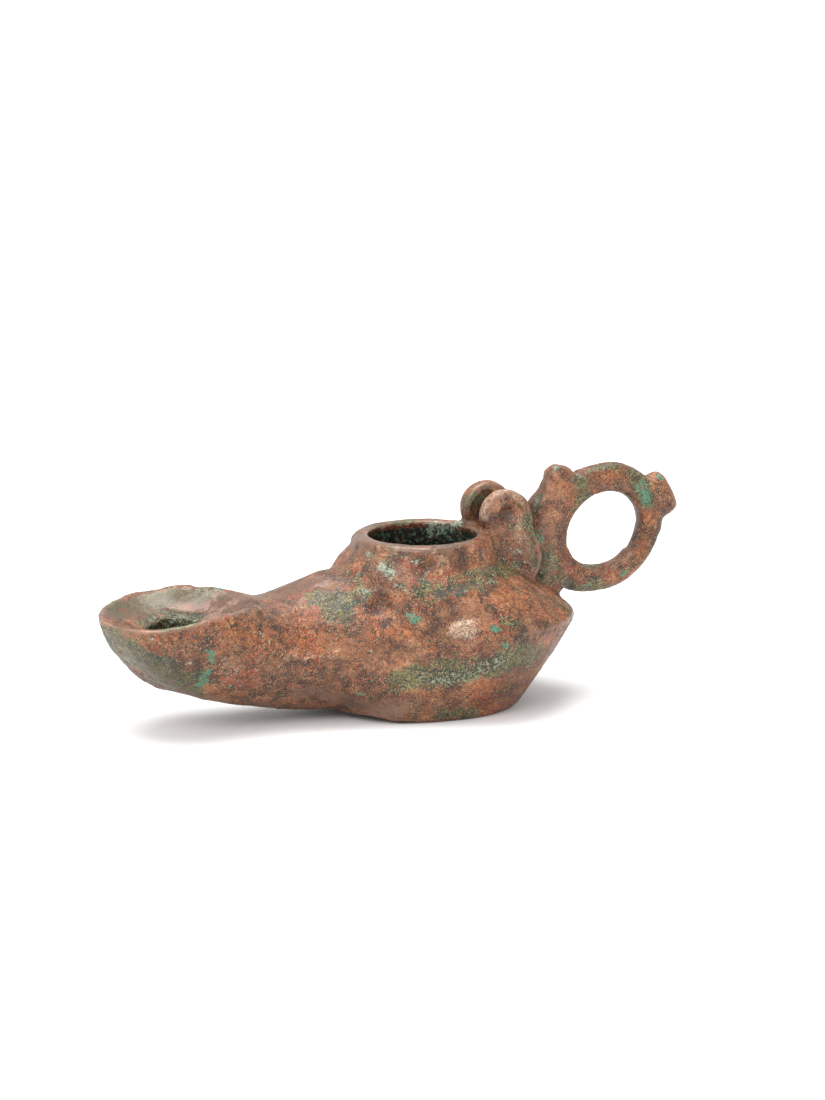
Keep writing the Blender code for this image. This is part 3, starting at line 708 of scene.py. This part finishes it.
@dataclass(frozen=True)
class CorrodedBronze:
    """The lamp's skin: copper browns under rust, olive and green crust, rubbed smooth along its edges, with
    painted highlights on its arrises and painted shade in its enclosed corners.

    Args:
        name: The material's name.
        broad: The size of the broadest changes of colour.
        middle: The size of blotches.
        fine: The size of small blotches.
        fleck: The size of single flecks.
        grain: The size of the finest speckle.
        shade: How much darker the skin is than its tones, which are those that the light shows.
        painted_corner_shade: How much darker it is in its deepest corners, as painted shade.
        bump: How deep the finest relief is.
    """

    name: str = "corroded_bronze"
    broad: float = 6.5 * MM
    middle: float = 2.6 * MM
    fine: float = 1.0 * MM
    fleck: float = 0.55 * MM
    grain: float = 0.26 * MM
    shade: float = 0.545
    painted_corner_shade: float = 0.38
    bump: float = 0.20 * MM

    def material(self) -> bpy.types.Material:
        """The finished material.

        Returns:
            The material.
        """
        skin = BronzeSkin(self)
        colour = skin.speckled(skin.ground())
        colour = skin.crusted_and_shaded(skin.flecked(colour))
        return skin.finished(skin.greened(colour))


class BronzeSkin:
    """The wiring of corroded bronze: its noises, the covers of its patinas, and its layers."""

    def __init__(self, finish: CorrodedBronze) -> None:
        """Makes what the layers share.

        Args:
            finish: The sizes and strengths of the skin.
        """
        self.finish = finish
        self.wiring = w = Wiring(finish.name)
        place = w.place()
        self.broad = w.noises(place, finish.broad, 3.0, 0.55)
        self.middle = w.noises(place, finish.middle, 4.0, 0.62)
        self.fine = w.noises(place, finish.fine, 3.0, 0.6)
        self.fleck = w.noises(place, finish.fleck, 1.0, 0.5)
        self.grain = w.noises(place, finish.grain, 1.0, 0.5)
        self.patina = {kind: w.attribute(kind.value) for kind in Patina}
        self.edge, self.recess, self.exposed = (w.attribute(name) for name in ("edge", "recess", "open"))
        self.worn, self.rust, self.olive, self.bare = self.covers()
        self.rough = 1.0 - self.worn * 0.82 - self.bare * 0.45

    @staticmethod
    def cover(amount: Number, *noises: tuple[Wire, float], low: float, high: float) -> Wire:
        """A patch with a ragged edge.

        Args:
            amount: How much of it there is at the point, from 0 to 1.
            noises: Each noise that tears the edge, with how far it moves it.
            low: The sum at which the patch begins.
            high: The sum at which it covers all.

        Returns:
            The cover, from 0 to 1.
        """
        total = amount
        for noise, reach in noises:
            total = total + (noise - 0.5) * reach
        return total.rise(low, high)

    def covers(self) -> tuple[Wire, Wire, Wire, Wire]:
        """How far the rubbed, the rusty, the olive and the bare skin cover the point.

        Returns:
            The four covers, each from 0 to 1.
        """
        broad, middle, fine, patina = self.broad, self.middle, self.fine, self.patina
        return (
            self.cover(patina[WORN].most(self.edge), (middle.a, 0.9), (fine.b, 0.6), low=0.25, high=0.70),
            self.cover(patina[RUST], (broad.a, 1.5), (middle.b, 1.5), (fine.c, 0.8), low=0.20, high=0.65),
            self.cover(patina[OLIVE], (broad.b, 1.3), (middle.c, 1.7), (fine.a, 0.9), low=0.22, high=0.62),
            self.cover(patina[BARE], (fine.a, 0.9), low=0.25, high=0.75),
        )

    def ground(self) -> Wire:
        """The browns under copper, rust, olive and pale crust, a smooth tone where it is rubbed, and arrises
        drawn lighter as a painted highlight.

        Returns:
            The colour.
        """
        w, broad, middle, fine, grain = self.wiring, self.broad, self.middle, self.fine, self.grain
        copper = self.cover(
            self.patina[BARE] * 0.7, (broad.c, 1.6), (middle.a, 1.8), (fine.b, 0.8), low=0.12, high=0.62
        )
        blush = self.cover(self.patina[BLUSH], (fine.b, 1.4), (grain.c, 1.0), low=0.35, high=0.95)
        dim = ((middle.c + broad.b * 0.8 + fine.c * 0.3) * 0.476).rise(0.50, 0.60)
        rusty = w.blend(Tone.DEEP_RUST, Tone.ORANGE, fine.a.rise(0.36, 0.60))
        mossy = w.blend(Tone.MOSS, Tone.OLIVE, (fine.b * 0.5 + grain.b * 0.5).rise(0.40, 0.58))
        rubbed = w.blend(Tone.MAUVE, Tone.GREY_OLIVE, self.olive)
        colour = w.blend(Tone.RED_BROWN, Tone.BROWN, middle.a.rise(0.38, 0.60))
        colour = w.blend(colour, Tone.DARK_BROWN, dim * 0.85)
        colour = w.blend(colour, Tone.PINK, copper * 0.65)
        colour = w.blend(colour, rusty, self.rust * 0.85)
        colour = w.blend(colour, mossy, self.olive * 0.9)
        colour = w.blend(colour, Tone.PINK, self.bare * 0.5)
        colour = w.blend(colour, rubbed, self.worn * 0.55)
        # Arrises are drawn lighter: rubbed metal with a painted highlight.
        colour = w.scaled(colour, self.edge * 0.42 + 1.0)
        return w.blend(colour, Tone.BLUSH, blush * 0.7)

    def speckled(self, colour: Wire) -> Wire:
        """A colour under light and dark speckle, which is stronger where the crust is thick, and under the
        dark patches of the DARK marks, some of which are painted shade.

        Args:
            colour: The colour under it.

        Returns:
            The speckled colour.
        """
        w, broad, middle, fine = self.wiring, self.broad, self.middle, self.fine
        fleck, grain = self.fleck, self.grain
        crusted = (middle.c + broad.a * 0.6).rise(0.70, 0.95) * 0.6 + 0.5
        speckle = ((grain.a - 0.5) * 4.8 + (fleck.a - 0.5) * 1.8) * crusted
        light = speckle + (middle.b - 0.5) * 2.0 + (broad.c - 0.5) * 2.2
        pale_tone = w.blend(Tone.PEACH, Tone.PALE_OLIVE, self.olive)
        pale = self.cover(0.0, (grain.b, 2.6), (fine.a, 0.6), (middle.a, 0.9), low=0.20, high=0.38)
        dark_tone = w.blend(Tone.SOOT_AND_SHADE, Tone.DEEP_GREEN, self.olive)
        # The DARK marks darken the colour here: dark crust, and painted shade where they lie in gaps, grooves
        # and under rims.
        dark = self.patina[DARK] * 0.62
        sooty_and_shaded = self.cover(dark, (grain.c, 0.8), (fleck.c, 0.7), (middle.c, 1.9), low=0.23, high=0.52)
        colour = w.scaled(colour, (light * self.rough + 1.0).most(0.25))
        colour = w.blend(colour, pale_tone, pale * self.rough * crusted * 0.85)
        return w.blend(colour, dark_tone, sooty_and_shaded * self.rough * 0.72)

    def flecked(self, colour: Wire) -> Wire:
        """A colour under small flecks of brick red and of deep green.

        Args:
            colour: The colour under it.

        Returns:
            The flecked colour.
        """
        w, broad, middle, fleck = self.wiring, self.broad, self.middle, self.fleck
        brick = self.patina[BRICK] * 0.26
        red = self.cover(brick, (fleck.b, 1.6), (broad.a, 0.9), (middle.a, 0.5), low=0.235, high=0.33)
        green = self.cover(self.olive * 0.10, (fleck.c, 1.5), (middle.b, 1.2), low=0.26, high=0.36)
        colour = w.blend(colour, Tone.BRICK, red * self.rough * 0.85)
        return w.blend(colour, Tone.DEEP_GREEN, green * self.rough * 0.8)

    def crusted_and_shaded(self, colour: Wire) -> Wire:
        """A colour that gives way to a dark crust, partly painted shade, inside the holes and in creases, and
        is darkened in enclosed corners as painted shade.

        Args:
            colour: The colour under it.

        Returns:
            The soiled colour.
        """
        w, middle, fine, fleck, grain = self.wiring, self.middle, self.fine, self.fleck, self.grain
        green = (fine.a * 0.6 + grain.b * 0.4).rise(0.38, 0.56)
        brown = (middle.a * 0.6 + fine.c * 0.4).rise(0.50, 0.64)
        pale = (fleck.c * 0.6 + fine.b * 0.4).rise(0.52, 0.62)
        inside = w.blend(Tone.SOOT_AND_SHADE, Tone.DEEP_GREEN, green)
        inside = w.blend(inside, Tone.BROWN, brown * 0.7)
        inside = w.blend(inside, Tone.PALE_GREEN, pale * 0.85)
        # Dark crust, partly painted shade, inside the holes and in creases.
        colour = w.blend(colour, inside, self.recess.rise(0.25, 0.75) * 0.92)
        # Painted shade: the colour is darker where little of the space above the point is open.
        painted_corner_shade = self.finish.painted_corner_shade
        return w.scaled(colour, self.exposed.rise(0.25, 0.95) * painted_corner_shade + (1.0 - painted_corner_shade))

    def greened(self, colour: Wire) -> Wire:
        """A colour under verdigris and chalk.

        Args:
            colour: The colour under it.

        Returns:
            The colour with its green and its chalk.
        """
        w, fine, fleck, grain = self.wiring, self.fine, self.fleck, self.grain
        green, chalk = self.patina[GREEN], self.patina[CHALK] * 0.8
        green = self.cover(green, (fleck.a, 1.8), (fine.c, 1.2), (self.broad.c, 0.6), low=0.50, high=0.80)
        chalk = self.cover(chalk, (fleck.b, 1.8), (grain.a, 1.4), (fine.b, 0.8), low=0.46, high=0.86)
        verdigris = w.blend(Tone.EMERALD, Tone.PALE_GREEN, grain.c.rise(0.40, 0.66))
        chalky = w.blend(Tone.PALE_GREEN, Tone.CHALK, grain.b.rise(0.40, 0.60))
        colour = w.blend(colour, verdigris, green * 0.85)
        return w.blend(colour, chalky, chalk * 0.85)

    def finished(self, colour: Wire) -> bpy.types.Material:
        """The material with a colour, its gloss and its finest relief.

        Args:
            colour: The colour of all layers.

        Returns:
            The material.
        """
        w, worn, bare, rough = self.wiring, self.worn, self.bare, self.rough
        height = self.middle.b * 0.8 + self.fine.a * 0.8 + self.fleck.a * 0.5 + self.grain.a * 0.4
        relief = {"Strength": 0.8, "Distance": self.finish.bump, "Height": height * (rough * 0.85 + 0.15)}
        w.set(
            Base_Color=w.scaled(colour, self.finish.shade),
            Roughness=(0.46 - worn * 0.14 - bare * 0.06 + (self.fine.b - 0.5) * 0.6 * rough).limited(),
            Metallic=(bare * 0.20 + worn * 0.15 + 0.05).limited(),
            Normal=w.node("ShaderNodeBump", {}, relief, out="Normal"),
        )
        return w.material


@dataclass(frozen=True)
class Stroke:
    """A mark where it lies on the lamp.

    Args:
        mark: The mark.
        path: The points of the skin that it runs through.
        out: The way out of the metal there.
    """

    mark: Mark
    path: tuple[Vector, ...]
    out: Vector


@dataclass(frozen=True)
class Hole:
    """An upright round hole in the casting.

    Args:
        x: Where its axis is; all holes are in the middle plane.
        reach: The distance from the axis within which its wall lies.
        top: The height of its rim.
    """

    x: float
    reach: float
    top: float


class PieceMesh:
    """The mesh of a piece, read and changed as arrays with a row for each point."""

    def __init__(self, piece: bpy.types.Object) -> None:
        """Holds the piece."""
        self.piece = piece

    def apply_modifiers(self) -> None:
        """Makes what the modifiers show the piece's own mesh."""
        graph = bpy.context.evaluated_depsgraph_get()
        old = self.piece.data
        made = bpy.data.meshes.new_from_object(self.piece.evaluated_get(graph))
        self.piece.modifiers.clear()
        self.piece.data = made
        bpy.data.meshes.remove(old)

    def points(self) -> np.ndarray:
        """The points of the mesh.

        Returns:
            One point a row.
        """
        found = np.empty(len(self.piece.data.vertices) * 3, np.float32)
        self.piece.data.vertices.foreach_get("co", found)
        return found.reshape(-1, 3).astype(float)

    def normals(self) -> np.ndarray:
        """The way out of the metal at each point.

        Returns:
            One way a row, of length 1.
        """
        found = np.empty(len(self.piece.data.vertices) * 3, np.float32)
        self.piece.data.vertices.foreach_get("normal", found)
        return found.reshape(-1, 3).astype(float)

    def place(self, points: np.ndarray) -> None:
        """Moves the mesh's points."""
        self.piece.data.vertices.foreach_set("co", points.astype(np.float32).ravel())
        self.piece.data.update()

    def edges(self) -> np.ndarray:
        """The two points of each edge.

        Returns:
            One edge a row, as the numbers of its points.
        """
        found = np.empty(len(self.piece.data.edges) * 2, np.int32)
        self.piece.data.edges.foreach_get("vertices", found)
        return found.reshape(-1, 2)

    @staticmethod
    def neighbour_mean(values: np.ndarray, edges: np.ndarray) -> np.ndarray:
        """The mean of each point's neighbours.

        Args:
            values: A row for each point.
            edges: The two points of each edge.

        Returns:
            A row for each point.
        """
        ends = np.concatenate([edges[:, 0], edges[:, 1]])
        others = np.concatenate([edges[:, 1], edges[:, 0]])
        size = len(values)
        count = np.maximum(np.bincount(ends, minlength=size), 1)
        sums = [np.bincount(ends, weights=column[others], minlength=size) for column in values.T]
        return np.stack([total / count for total in sums], axis=1)

    def spread(self, value: np.ndarray, edges: np.ndarray, turns: int) -> np.ndarray:
        """Evens out a value over the mesh.

        Args:
            value: One value for each point.
            edges: The two points of each edge.
            turns: How often each value moves halfway to its neighbours.

        Returns:
            The evened values.
        """
        for _ in range(turns):
            value = (value + self.neighbour_mean(value[:, None], edges)[:, 0]) / 2
        return value

    def carry(self, name: str, values: np.ndarray) -> None:
        """Stores a value for each point on the mesh.

        Args:
            name: The attribute's name.
            values: One value for each point.
        """
        known = self.piece.data.attributes
        attribute = known.get(name) or known.new(name, "FLOAT", "POINT")
        attribute.data.foreach_set("value", values.astype(np.float32))

    def carried(self, name: str) -> np.ndarray:
        """A value that the mesh carries.

        Args:
            name: The attribute's name.

        Returns:
            One value for each point.
        """
        found = np.empty(len(self.piece.data.vertices), np.float32)
        self.piece.data.attributes[name].data.foreach_get("value", found)
        return found.astype(float)

    def curvature(self) -> np.ndarray:
        """How far each point lies below its neighbours: above 0 in a hollow, below 0 on an arris.

        Returns:
            A length for each point.
        """
        points, edges = self.points(), self.edges()
        lift = (self.neighbour_mean(points, edges) - points) * self.normals()
        return self.spread(lift.sum(axis=1), edges, 2)


@dataclass
class LampCasting:
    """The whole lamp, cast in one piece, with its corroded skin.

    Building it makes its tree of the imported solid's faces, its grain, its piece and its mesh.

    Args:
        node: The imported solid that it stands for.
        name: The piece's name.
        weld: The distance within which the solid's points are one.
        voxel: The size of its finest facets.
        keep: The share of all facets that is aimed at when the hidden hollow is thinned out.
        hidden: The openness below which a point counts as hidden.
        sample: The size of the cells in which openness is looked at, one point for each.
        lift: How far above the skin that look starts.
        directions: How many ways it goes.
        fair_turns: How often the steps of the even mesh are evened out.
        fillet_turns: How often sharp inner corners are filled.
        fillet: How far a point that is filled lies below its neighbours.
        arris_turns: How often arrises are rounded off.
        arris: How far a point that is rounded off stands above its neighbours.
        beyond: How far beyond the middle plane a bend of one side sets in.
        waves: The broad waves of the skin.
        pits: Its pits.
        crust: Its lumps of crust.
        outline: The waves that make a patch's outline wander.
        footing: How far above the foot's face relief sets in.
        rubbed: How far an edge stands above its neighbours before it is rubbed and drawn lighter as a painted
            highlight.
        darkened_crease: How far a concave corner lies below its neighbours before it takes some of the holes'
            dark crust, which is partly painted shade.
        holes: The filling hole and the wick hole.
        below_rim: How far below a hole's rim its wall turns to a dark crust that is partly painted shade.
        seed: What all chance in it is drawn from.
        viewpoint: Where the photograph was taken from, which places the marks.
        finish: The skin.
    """

    node: str = "lamp"
    name: str = "lamp_casting"
    weld: float = 0.001 * MM
    voxel: float = 0.46 * MM
    keep: float = 0.74
    hidden: float = 0.03
    sample: float = 1.2 * MM
    lift: float = 0.4 * MM
    directions: int = 40
    fair_turns: int = 6
    fillet_turns: int = 4
    fillet: Ramp = Ramp(0.006 * MM, 0.030 * MM)
    arris_turns: int = 1
    arris: Ramp = Ramp(0.010 * MM, 0.040 * MM)
    beyond: Ramp = Ramp(-2.0 * MM, 3.0 * MM)
    waves: Unevenness = Unevenness(7.0 * MM, 0.28 * MM)
    pits: Unevenness = Unevenness(2.0 * MM, 0.16 * MM)
    crust: Unevenness = Unevenness(1.5 * MM, 0.112 * MM)
    outline: tuple[Unevenness, ...] = (Unevenness(2.6 * MM, 0.80 * MM), Unevenness(1.0 * MM, 0.35 * MM))
    footing: Ramp = Ramp(0.2 * MM, 1.0 * MM)
    rubbed: Ramp = Ramp(0.012 * MM, 0.045 * MM)
    darkened_crease: Ramp = Ramp(0.008 * MM, 0.035 * MM)
    holes: tuple[Hole, ...] = (Hole(-1.9 * MM, 13.0 * MM, 33.6 * MM), Hole(-53.5 * MM, 6.4 * MM, 20.4 * MM))
    below_rim: Ramp = Ramp(0.2 * MM, 1.2 * MM)
    seed: int = 7
    viewpoint: Viewpoint = field(default_factory=Viewpoint)
    finish: CorrodedBronze = field(default_factory=CorrodedBronze)
    tree: BVHTree = field(init=False)
    grain: Grain = field(init=False)
    piece: bpy.types.Object = field(init=False)
    mesh: PieceMesh = field(init=False)

    def build(self) -> bpy.types.Object:
        """The dressed piece, riding on the lamp's body.

        Returns:
            The piece.
        """
        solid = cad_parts[self.node].data
        self.tree = BVHTree.FromPolygons([v.co for v in solid.vertices], [p.vertices for p in solid.polygons])
        self.grain = Grain(self.seed)
        self.piece = bpy.data.objects.new(self.name, solid.copy())
        bpy.context.scene.collection.objects.link(self.piece)
        self.mesh = PieceMesh(self.piece)
        self.remesh()
        self.thin_inside()
        self.fair()
        self.soften()
        self.bend()
        self.dress()
        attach(self.piece, "root")
        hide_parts(self.node)
        return self.piece

    def remesh(self) -> None:
        """Gives the piece small even facets."""
        weld = self.piece.modifiers.new("weld", "WELD")
        weld.merge_threshold = self.weld
        skin = self.piece.modifiers.new("skin", "REMESH")
        skin.mode = "VOXEL"
        skin.voxel_size = self.voxel
        self.mesh.apply_modifiers()
        log.info("%s: %d facets in the even mesh", self.name, len(self.piece.data.polygons))

    def ways(self) -> np.ndarray:
        """Directions spread evenly all round, one a row.

        Returns:
            One direction a row, of length 1.
        """
        steps = np.arange(self.directions) + 0.5
        height = 1.0 - 2.0 * steps / self.directions
        turn = steps * math.pi * (3.0 - math.sqrt(5.0))
        radius = np.sqrt(1.0 - height**2)
        return np.stack([radius * np.cos(turn), radius * np.sin(turn), height], axis=1)

    def openness(self) -> np.ndarray:
        """How much of the space above each point is open, from 0 deep inside to 1.

        Returns:
            One share for each point.
        """
        points, normals = self.mesh.points(), self.mesh.normals()
        cells = np.floor(points / self.sample).astype(int)
        _, first, cell_of = np.unique(cells, axis=0, return_index=True, return_inverse=True)
        ways = self.ways()
        found = np.zeros(len(first))
        for i, index in enumerate(first):
            cosines = ways @ normals[index]
            start = Vector(points[index] + normals[index] * self.lift)
            above = cosines > 0.15
            looks = zip(ways[above], cosines[above])
            free = sum(share for way, share in looks if self.tree.ray_cast(start, Vector(way))[0] is None)
            found[i] = free / max(cosines[above].sum(), 1e-9)
        return self.mesh.spread(found[cell_of.ravel()], self.mesh.edges(), 5)

    def thin_inside(self) -> None:
        """Keeps the small facets for the outside, and has fewer in the hidden hollow."""
        openness = self.openness()
        self.mesh.carry("open", openness)
        hidden = np.flatnonzero(openness < self.hidden)
        group = self.piece.vertex_groups.new(name="hollow")
        group.add(hidden.tolist(), 1.0, "REPLACE")
        thin = self.piece.modifiers.new("thin", "DECIMATE")
        thin.ratio = self.keep
        thin.vertex_group = group.name
        thin.vertex_group_factor = 1000.0
        thin.use_collapse_triangulate = True
        self.mesh.apply_modifiers()
        self.piece.vertex_groups.clear()
        log.info("%s: %d facets, %d points hidden", self.name, len(self.piece.data.polygons), len(hidden))

    def fair(self) -> None:
        """Takes the steps of the even mesh out of its surface."""
        points, edges = self.mesh.points(), self.mesh.edges()
        for turn in range(2 * self.fair_turns):
            share = 0.5 if turn % 2 == 0 else -0.52
            points = points + share * (self.mesh.neighbour_mean(points, edges) - points)
        self.mesh.place(points)

    def soften(self) -> None:
        """Fills sharp inner corners, and rounds off arrises a little."""
        points, edges, curve = self.mesh.points(), self.mesh.edges(), self.mesh.curvature()
        inner = 0.6 * self.fillet.share(curve)[:, None]
        outer = 0.5 * self.arris.share(-curve)[:, None]
        for turn in range(self.fillet_turns):
            share = inner + outer if turn < self.arris_turns else inner
            points = points + share * (self.mesh.neighbour_mean(points, edges) - points)
        self.mesh.place(points)

    def bend(self) -> None:
        """Shifts the parts of the casting that aren't true."""
        points = self.mesh.points()
        flat = points * (1.0, 0.0, 1.0)
        for bend in BENDS:
            path = [self.viewpoint.in_middle(spot) for spot in spots(bend.path)]
            share = smooth_step(1.0, 0.0, self.distance(flat, path) / (bend.breadth * MM))
            if bend.side:
                share = share * self.beyond.share(points[:, 1] * bend.side)
            points += share[:, None] * np.array((bend.shift[0], 0.0, bend.shift[1])) * MM
        self.mesh.place(points)

    def strokes(self) -> list[Stroke]:
        """The marks that the photograph shows, where they lie on the lamp.

        Returns:
            The marks that meet the lamp.
        """
        found = []
        eye = self.viewpoint.eye()
        for mark in MARKS:
            hits = [self.tree.ray_cast(eye, self.viewpoint.sight(spot)) for spot in spots(mark.path)]
            hits = [hit for hit in hits if hit[0] is not None]
            if not hits:
                log.warning("%s misses the lamp", mark.name)
                continue
            out = sum((hit[1] for hit in hits), Vector()).normalized()
            found.append(Stroke(mark, tuple(hit[0] for hit in hits), out))
        return found

    def scattered(self, points: np.ndarray, normals: np.ndarray, openness: np.ndarray) -> list[Stroke]:
        """Marks at chance places of the outside that the photograph doesn't show.

        Args:
            points: One point a row.
            normals: The way out of the metal at each.
            openness: How open the space above each is.

        Returns:
            The marks.
        """
        maker = np.random.default_rng(self.seed)
        away = normals @ np.array(self.viewpoint.back())
        places = np.flatnonzero((away < -0.05) & (openness > 0.35))
        found = []
        for scatter in SCATTERS:
            for index in maker.choice(places, scatter.count):
                breadth = maker.uniform(*scatter.breadth)
                relief = scatter.relief * maker.uniform(0.3, 1.0)
                mark = Mark("chance", scatter.patina, (), breadth, scatter.strength, relief)
                middle, out = Vector(points[index]), Vector(normals[index])
                way = Vector(maker.normal(size=3)).cross(out).normalized() * breadth * MM
                found.append(Stroke(mark, (middle - way, middle + way), out))
        return found

    def warped(self, points: np.ndarray) -> np.ndarray:
        """The points with uneven shifts, which make a patch's outline wander.

        Args:
            points: One point a row.

        Returns:
            The shifted points.
        """
        found = points
        for bumps in self.outline:
            shifts = [self.grain.at(points + step * 0.29, bumps.size) for step in (1, 2, 3)]
            found = found + np.stack(shifts, axis=1) * bumps.height
        return found

    def within_holes(self, points: np.ndarray, normals: np.ndarray) -> np.ndarray:
        """How far each point lies on the wall of the filling hole or the wick hole, from 0 to 1.

        Args:
            points: One point a row.
            normals: The way out of the metal at each.

        Returns:
            One share for each point.
        """
        found = np.zeros(len(points))
        for hole in self.holes:
            away = points[:, :2] - np.array((hole.x, 0.0))
            radius = np.linalg.norm(away, axis=1)
            facing = -(away * normals[:, :2]).sum(axis=1) / np.maximum(radius, 1e-9)
            below = self.below_rim.share(hole.top - points[:, 2])
            found = np.maximum(found, below * smooth_step(0.3, 0.8, facing) * (radius < hole.reach))
        return found

    @staticmethod
    def distance(points: np.ndarray, path: Sequence[Vector]) -> np.ndarray:
        """How far each point is from a path of straight runs.

        Args:
            points: One point a row.
            path: The points that the path runs through.

        Returns:
            One length for each point.
        """
        ends = [np.array(point) for point in path]
        nearest = np.linalg.norm(points - ends[0], axis=1)
        for start, end in zip(ends, ends[1:]):
            run = end - start
            share = np.clip((points - start) @ run / max(run @ run, 1e-12), 0.0, 1.0)
            nearest = np.minimum(nearest, np.linalg.norm(points - start - share[:, None] * run, axis=1))
        return nearest

    def laid(self, strokes: Sequence[Stroke]) -> tuple[dict[Patina, np.ndarray], np.ndarray]:
        """Lays marks on the skin.

        Args:
            strokes: The marks, where they lie.

        Returns:
            How far each kind of patina covers each point, and how far the marks raise each point.
        """
        points, normals = self.mesh.points(), self.mesh.normals()
        warped = self.warped(points)
        cover = {kind: np.zeros(len(points)) for kind in Patina}
        relief = np.zeros(len(points))
        for stroke in strokes:
            mark, breadth = stroke.mark, stroke.mark.breadth * MM
            facing = smooth_step(-0.2, 0.3, normals @ np.array(stroke.out))
            rise = smooth_step(1.15, 0.2, self.distance(points, stroke.path) / breadth)
            relief += mark.relief * MM * rise * facing
            if mark.patina is not None:
                patch = smooth_step(1.7, 0.3, self.distance(warped, stroke.path) / breadth)
                cover[mark.patina] = np.maximum(cover[mark.patina], patch * facing * mark.strength)
        return cover, relief

    def texture(self, points: np.ndarray) -> np.ndarray:
        """How far the skin's own waves, crust and pits raise each point.

        Args:
            points: One point a row.

        Returns:
            One length for each point.
        """
        waves = self.grain.layered(points, self.waves.size, 3)
        pits = smooth_step(0.18, 0.62, self.grain.layered(points + 0.5, self.pits.size, 2))
        crust = smooth_step(0.25, 0.70, self.grain.layered(points + 0.9, self.crust.size, 2))
        return waves * self.waves.height + (crust * self.crust.height - pits * self.pits.height)

    def dress(self) -> None:
        """Gives the piece its relief, what its material reads from the mesh, and the material."""
        points, normals, curve = self.mesh.points(), self.mesh.normals(), self.mesh.curvature()
        openness = self.mesh.carried("open")
        edge = self.rubbed.share(-curve)
        cavity = self.darkened_crease.share(curve)
        cover, relief = self.laid(self.strokes() + self.scattered(points, normals, openness))
        relief += self.texture(points) * (1.0 - 0.7 * np.maximum(cover[WORN], edge))
        relief *= self.footing.share(points[:, 2])
        low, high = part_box(self.node)
        self.mesh.place(np.clip(points + normals * relief[:, None], np.array(low), np.array(high)))
        # Enclosed points, the holes' walls and creases take a dark crust that is partly painted shade.
        deep = np.maximum(1.0 - smooth_step(0.02, 0.40, openness), self.within_holes(points, normals))
        deep = deep * (1.0 - 0.85 * cover[OLIVE])
        for kind, values in cover.items():
            self.mesh.carry(kind.value, values)
        # Rubbed arrises, which the material also draws lighter as a painted highlight.
        self.mesh.carry("edge", edge * smooth_step(0.3, 0.6, openness))
        self.mesh.carry("recess", np.maximum(deep, 0.4 * cavity))
        self.piece.data.polygons.foreach_set("use_smooth", [True] * len(self.piece.data.polygons))
        self.piece.data.materials.clear()
        self.piece.data.materials.append(self.finish.material())


@dataclass(frozen=True)
class Softbox:
    """A square light that looks at the lamp.

    Args:
        name: Its name.
        place: Where it hangs.
        size: The length of a side.
        power: Its power in watts.
    """

    name: str
    place: tuple[float, float, float]
    size: float
    power: float

    def hang(self, target: Vector) -> None:
        """Puts it in the scene, facing a point.

        Args:
            target: The point.
        """
        data = bpy.data.lights.new(self.name, "AREA")
        data.size = self.size
        data.energy = self.power
        light = bpy.data.objects.new(self.name, data)
        light.location = self.place
        light.rotation_mode = "QUATERNION"
        light.rotation_quaternion = (target - Vector(self.place)).to_track_quat("-Z", "Y")
        bpy.context.scene.collection.objects.link(light)


@dataclass
class Studio:
    """The floor, the light and the camera.

    Args:
        floor_size: The length of a side of the floor.
        floor_tone: How light the floor is.
        sky: How strong the even light from all round is.
        softboxes: The lights.
        lit: The height of the point on the lamp's axis that they face.
        viewpoint: Where the camera stands.
    """

    floor_size: float = 6.0
    floor_tone: float = 0.82
    sky: float = 1.0
    softboxes: tuple[Softbox, ...] = (
        Softbox("softbox_above", (-0.3, 0.3, 2.8), 2.0, 86.0),
        Softbox("softbox_left", (-1.6, -1.2, 1.8), 1.3, 24.0),
    )
    lit: float = 20.0 * MM
    viewpoint: Viewpoint = field(default_factory=Viewpoint)

    def build(self) -> None:
        """Makes all of it."""
        self.add_floor()
        self.add_sky()
        for softbox in self.softboxes:
            softbox.hang(Vector((0.0, 0.0, self.lit)))
        self.viewpoint.add_camera()
        bpy.context.scene.view_settings.view_transform = "Standard"
        bpy.context.scene.view_settings.look = "None"

    def add_floor(self) -> None:
        """Lays the pale floor."""
        half = self.floor_size / 2
        corners = [(-half, -half, 0.0), (half, -half, 0.0), (half, half, 0.0), (-half, half, 0.0)]
        mesh = bpy.data.meshes.new("floor")
        mesh.from_pydata(corners, [], [(0, 1, 2, 3)])
        floor = bpy.data.objects.new("floor", mesh)
        wiring = Wiring("pale_floor")
        wiring.set(Base_Color=(self.floor_tone,) * 3 + (1.0,), Roughness=0.9)
        mesh.materials.append(wiring.material)
        bpy.context.scene.collection.objects.link(floor)

    def add_sky(self) -> None:
        """Lights the scene evenly from all round."""
        world = bpy.data.worlds.new("studio")
        world.use_nodes = True
        background = world.node_tree.nodes["Background"]
        background.inputs["Color"].default_value = (1.0, 1.0, 1.0, 1.0)
        background.inputs["Strength"].default_value = self.sky
        bpy.context.scene.world = world


def main() -> None:
    """Builds the lamp and the studio."""
    logging.basicConfig(level=logging.INFO, format="%(name)s: %(message)s")
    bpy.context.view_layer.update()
    piece = LampCasting().build()
    log.info("%s rides on the body root", piece.name)
    Studio().build()
    log.info("the studio is lit")


if __name__ == "__main__":
    main()
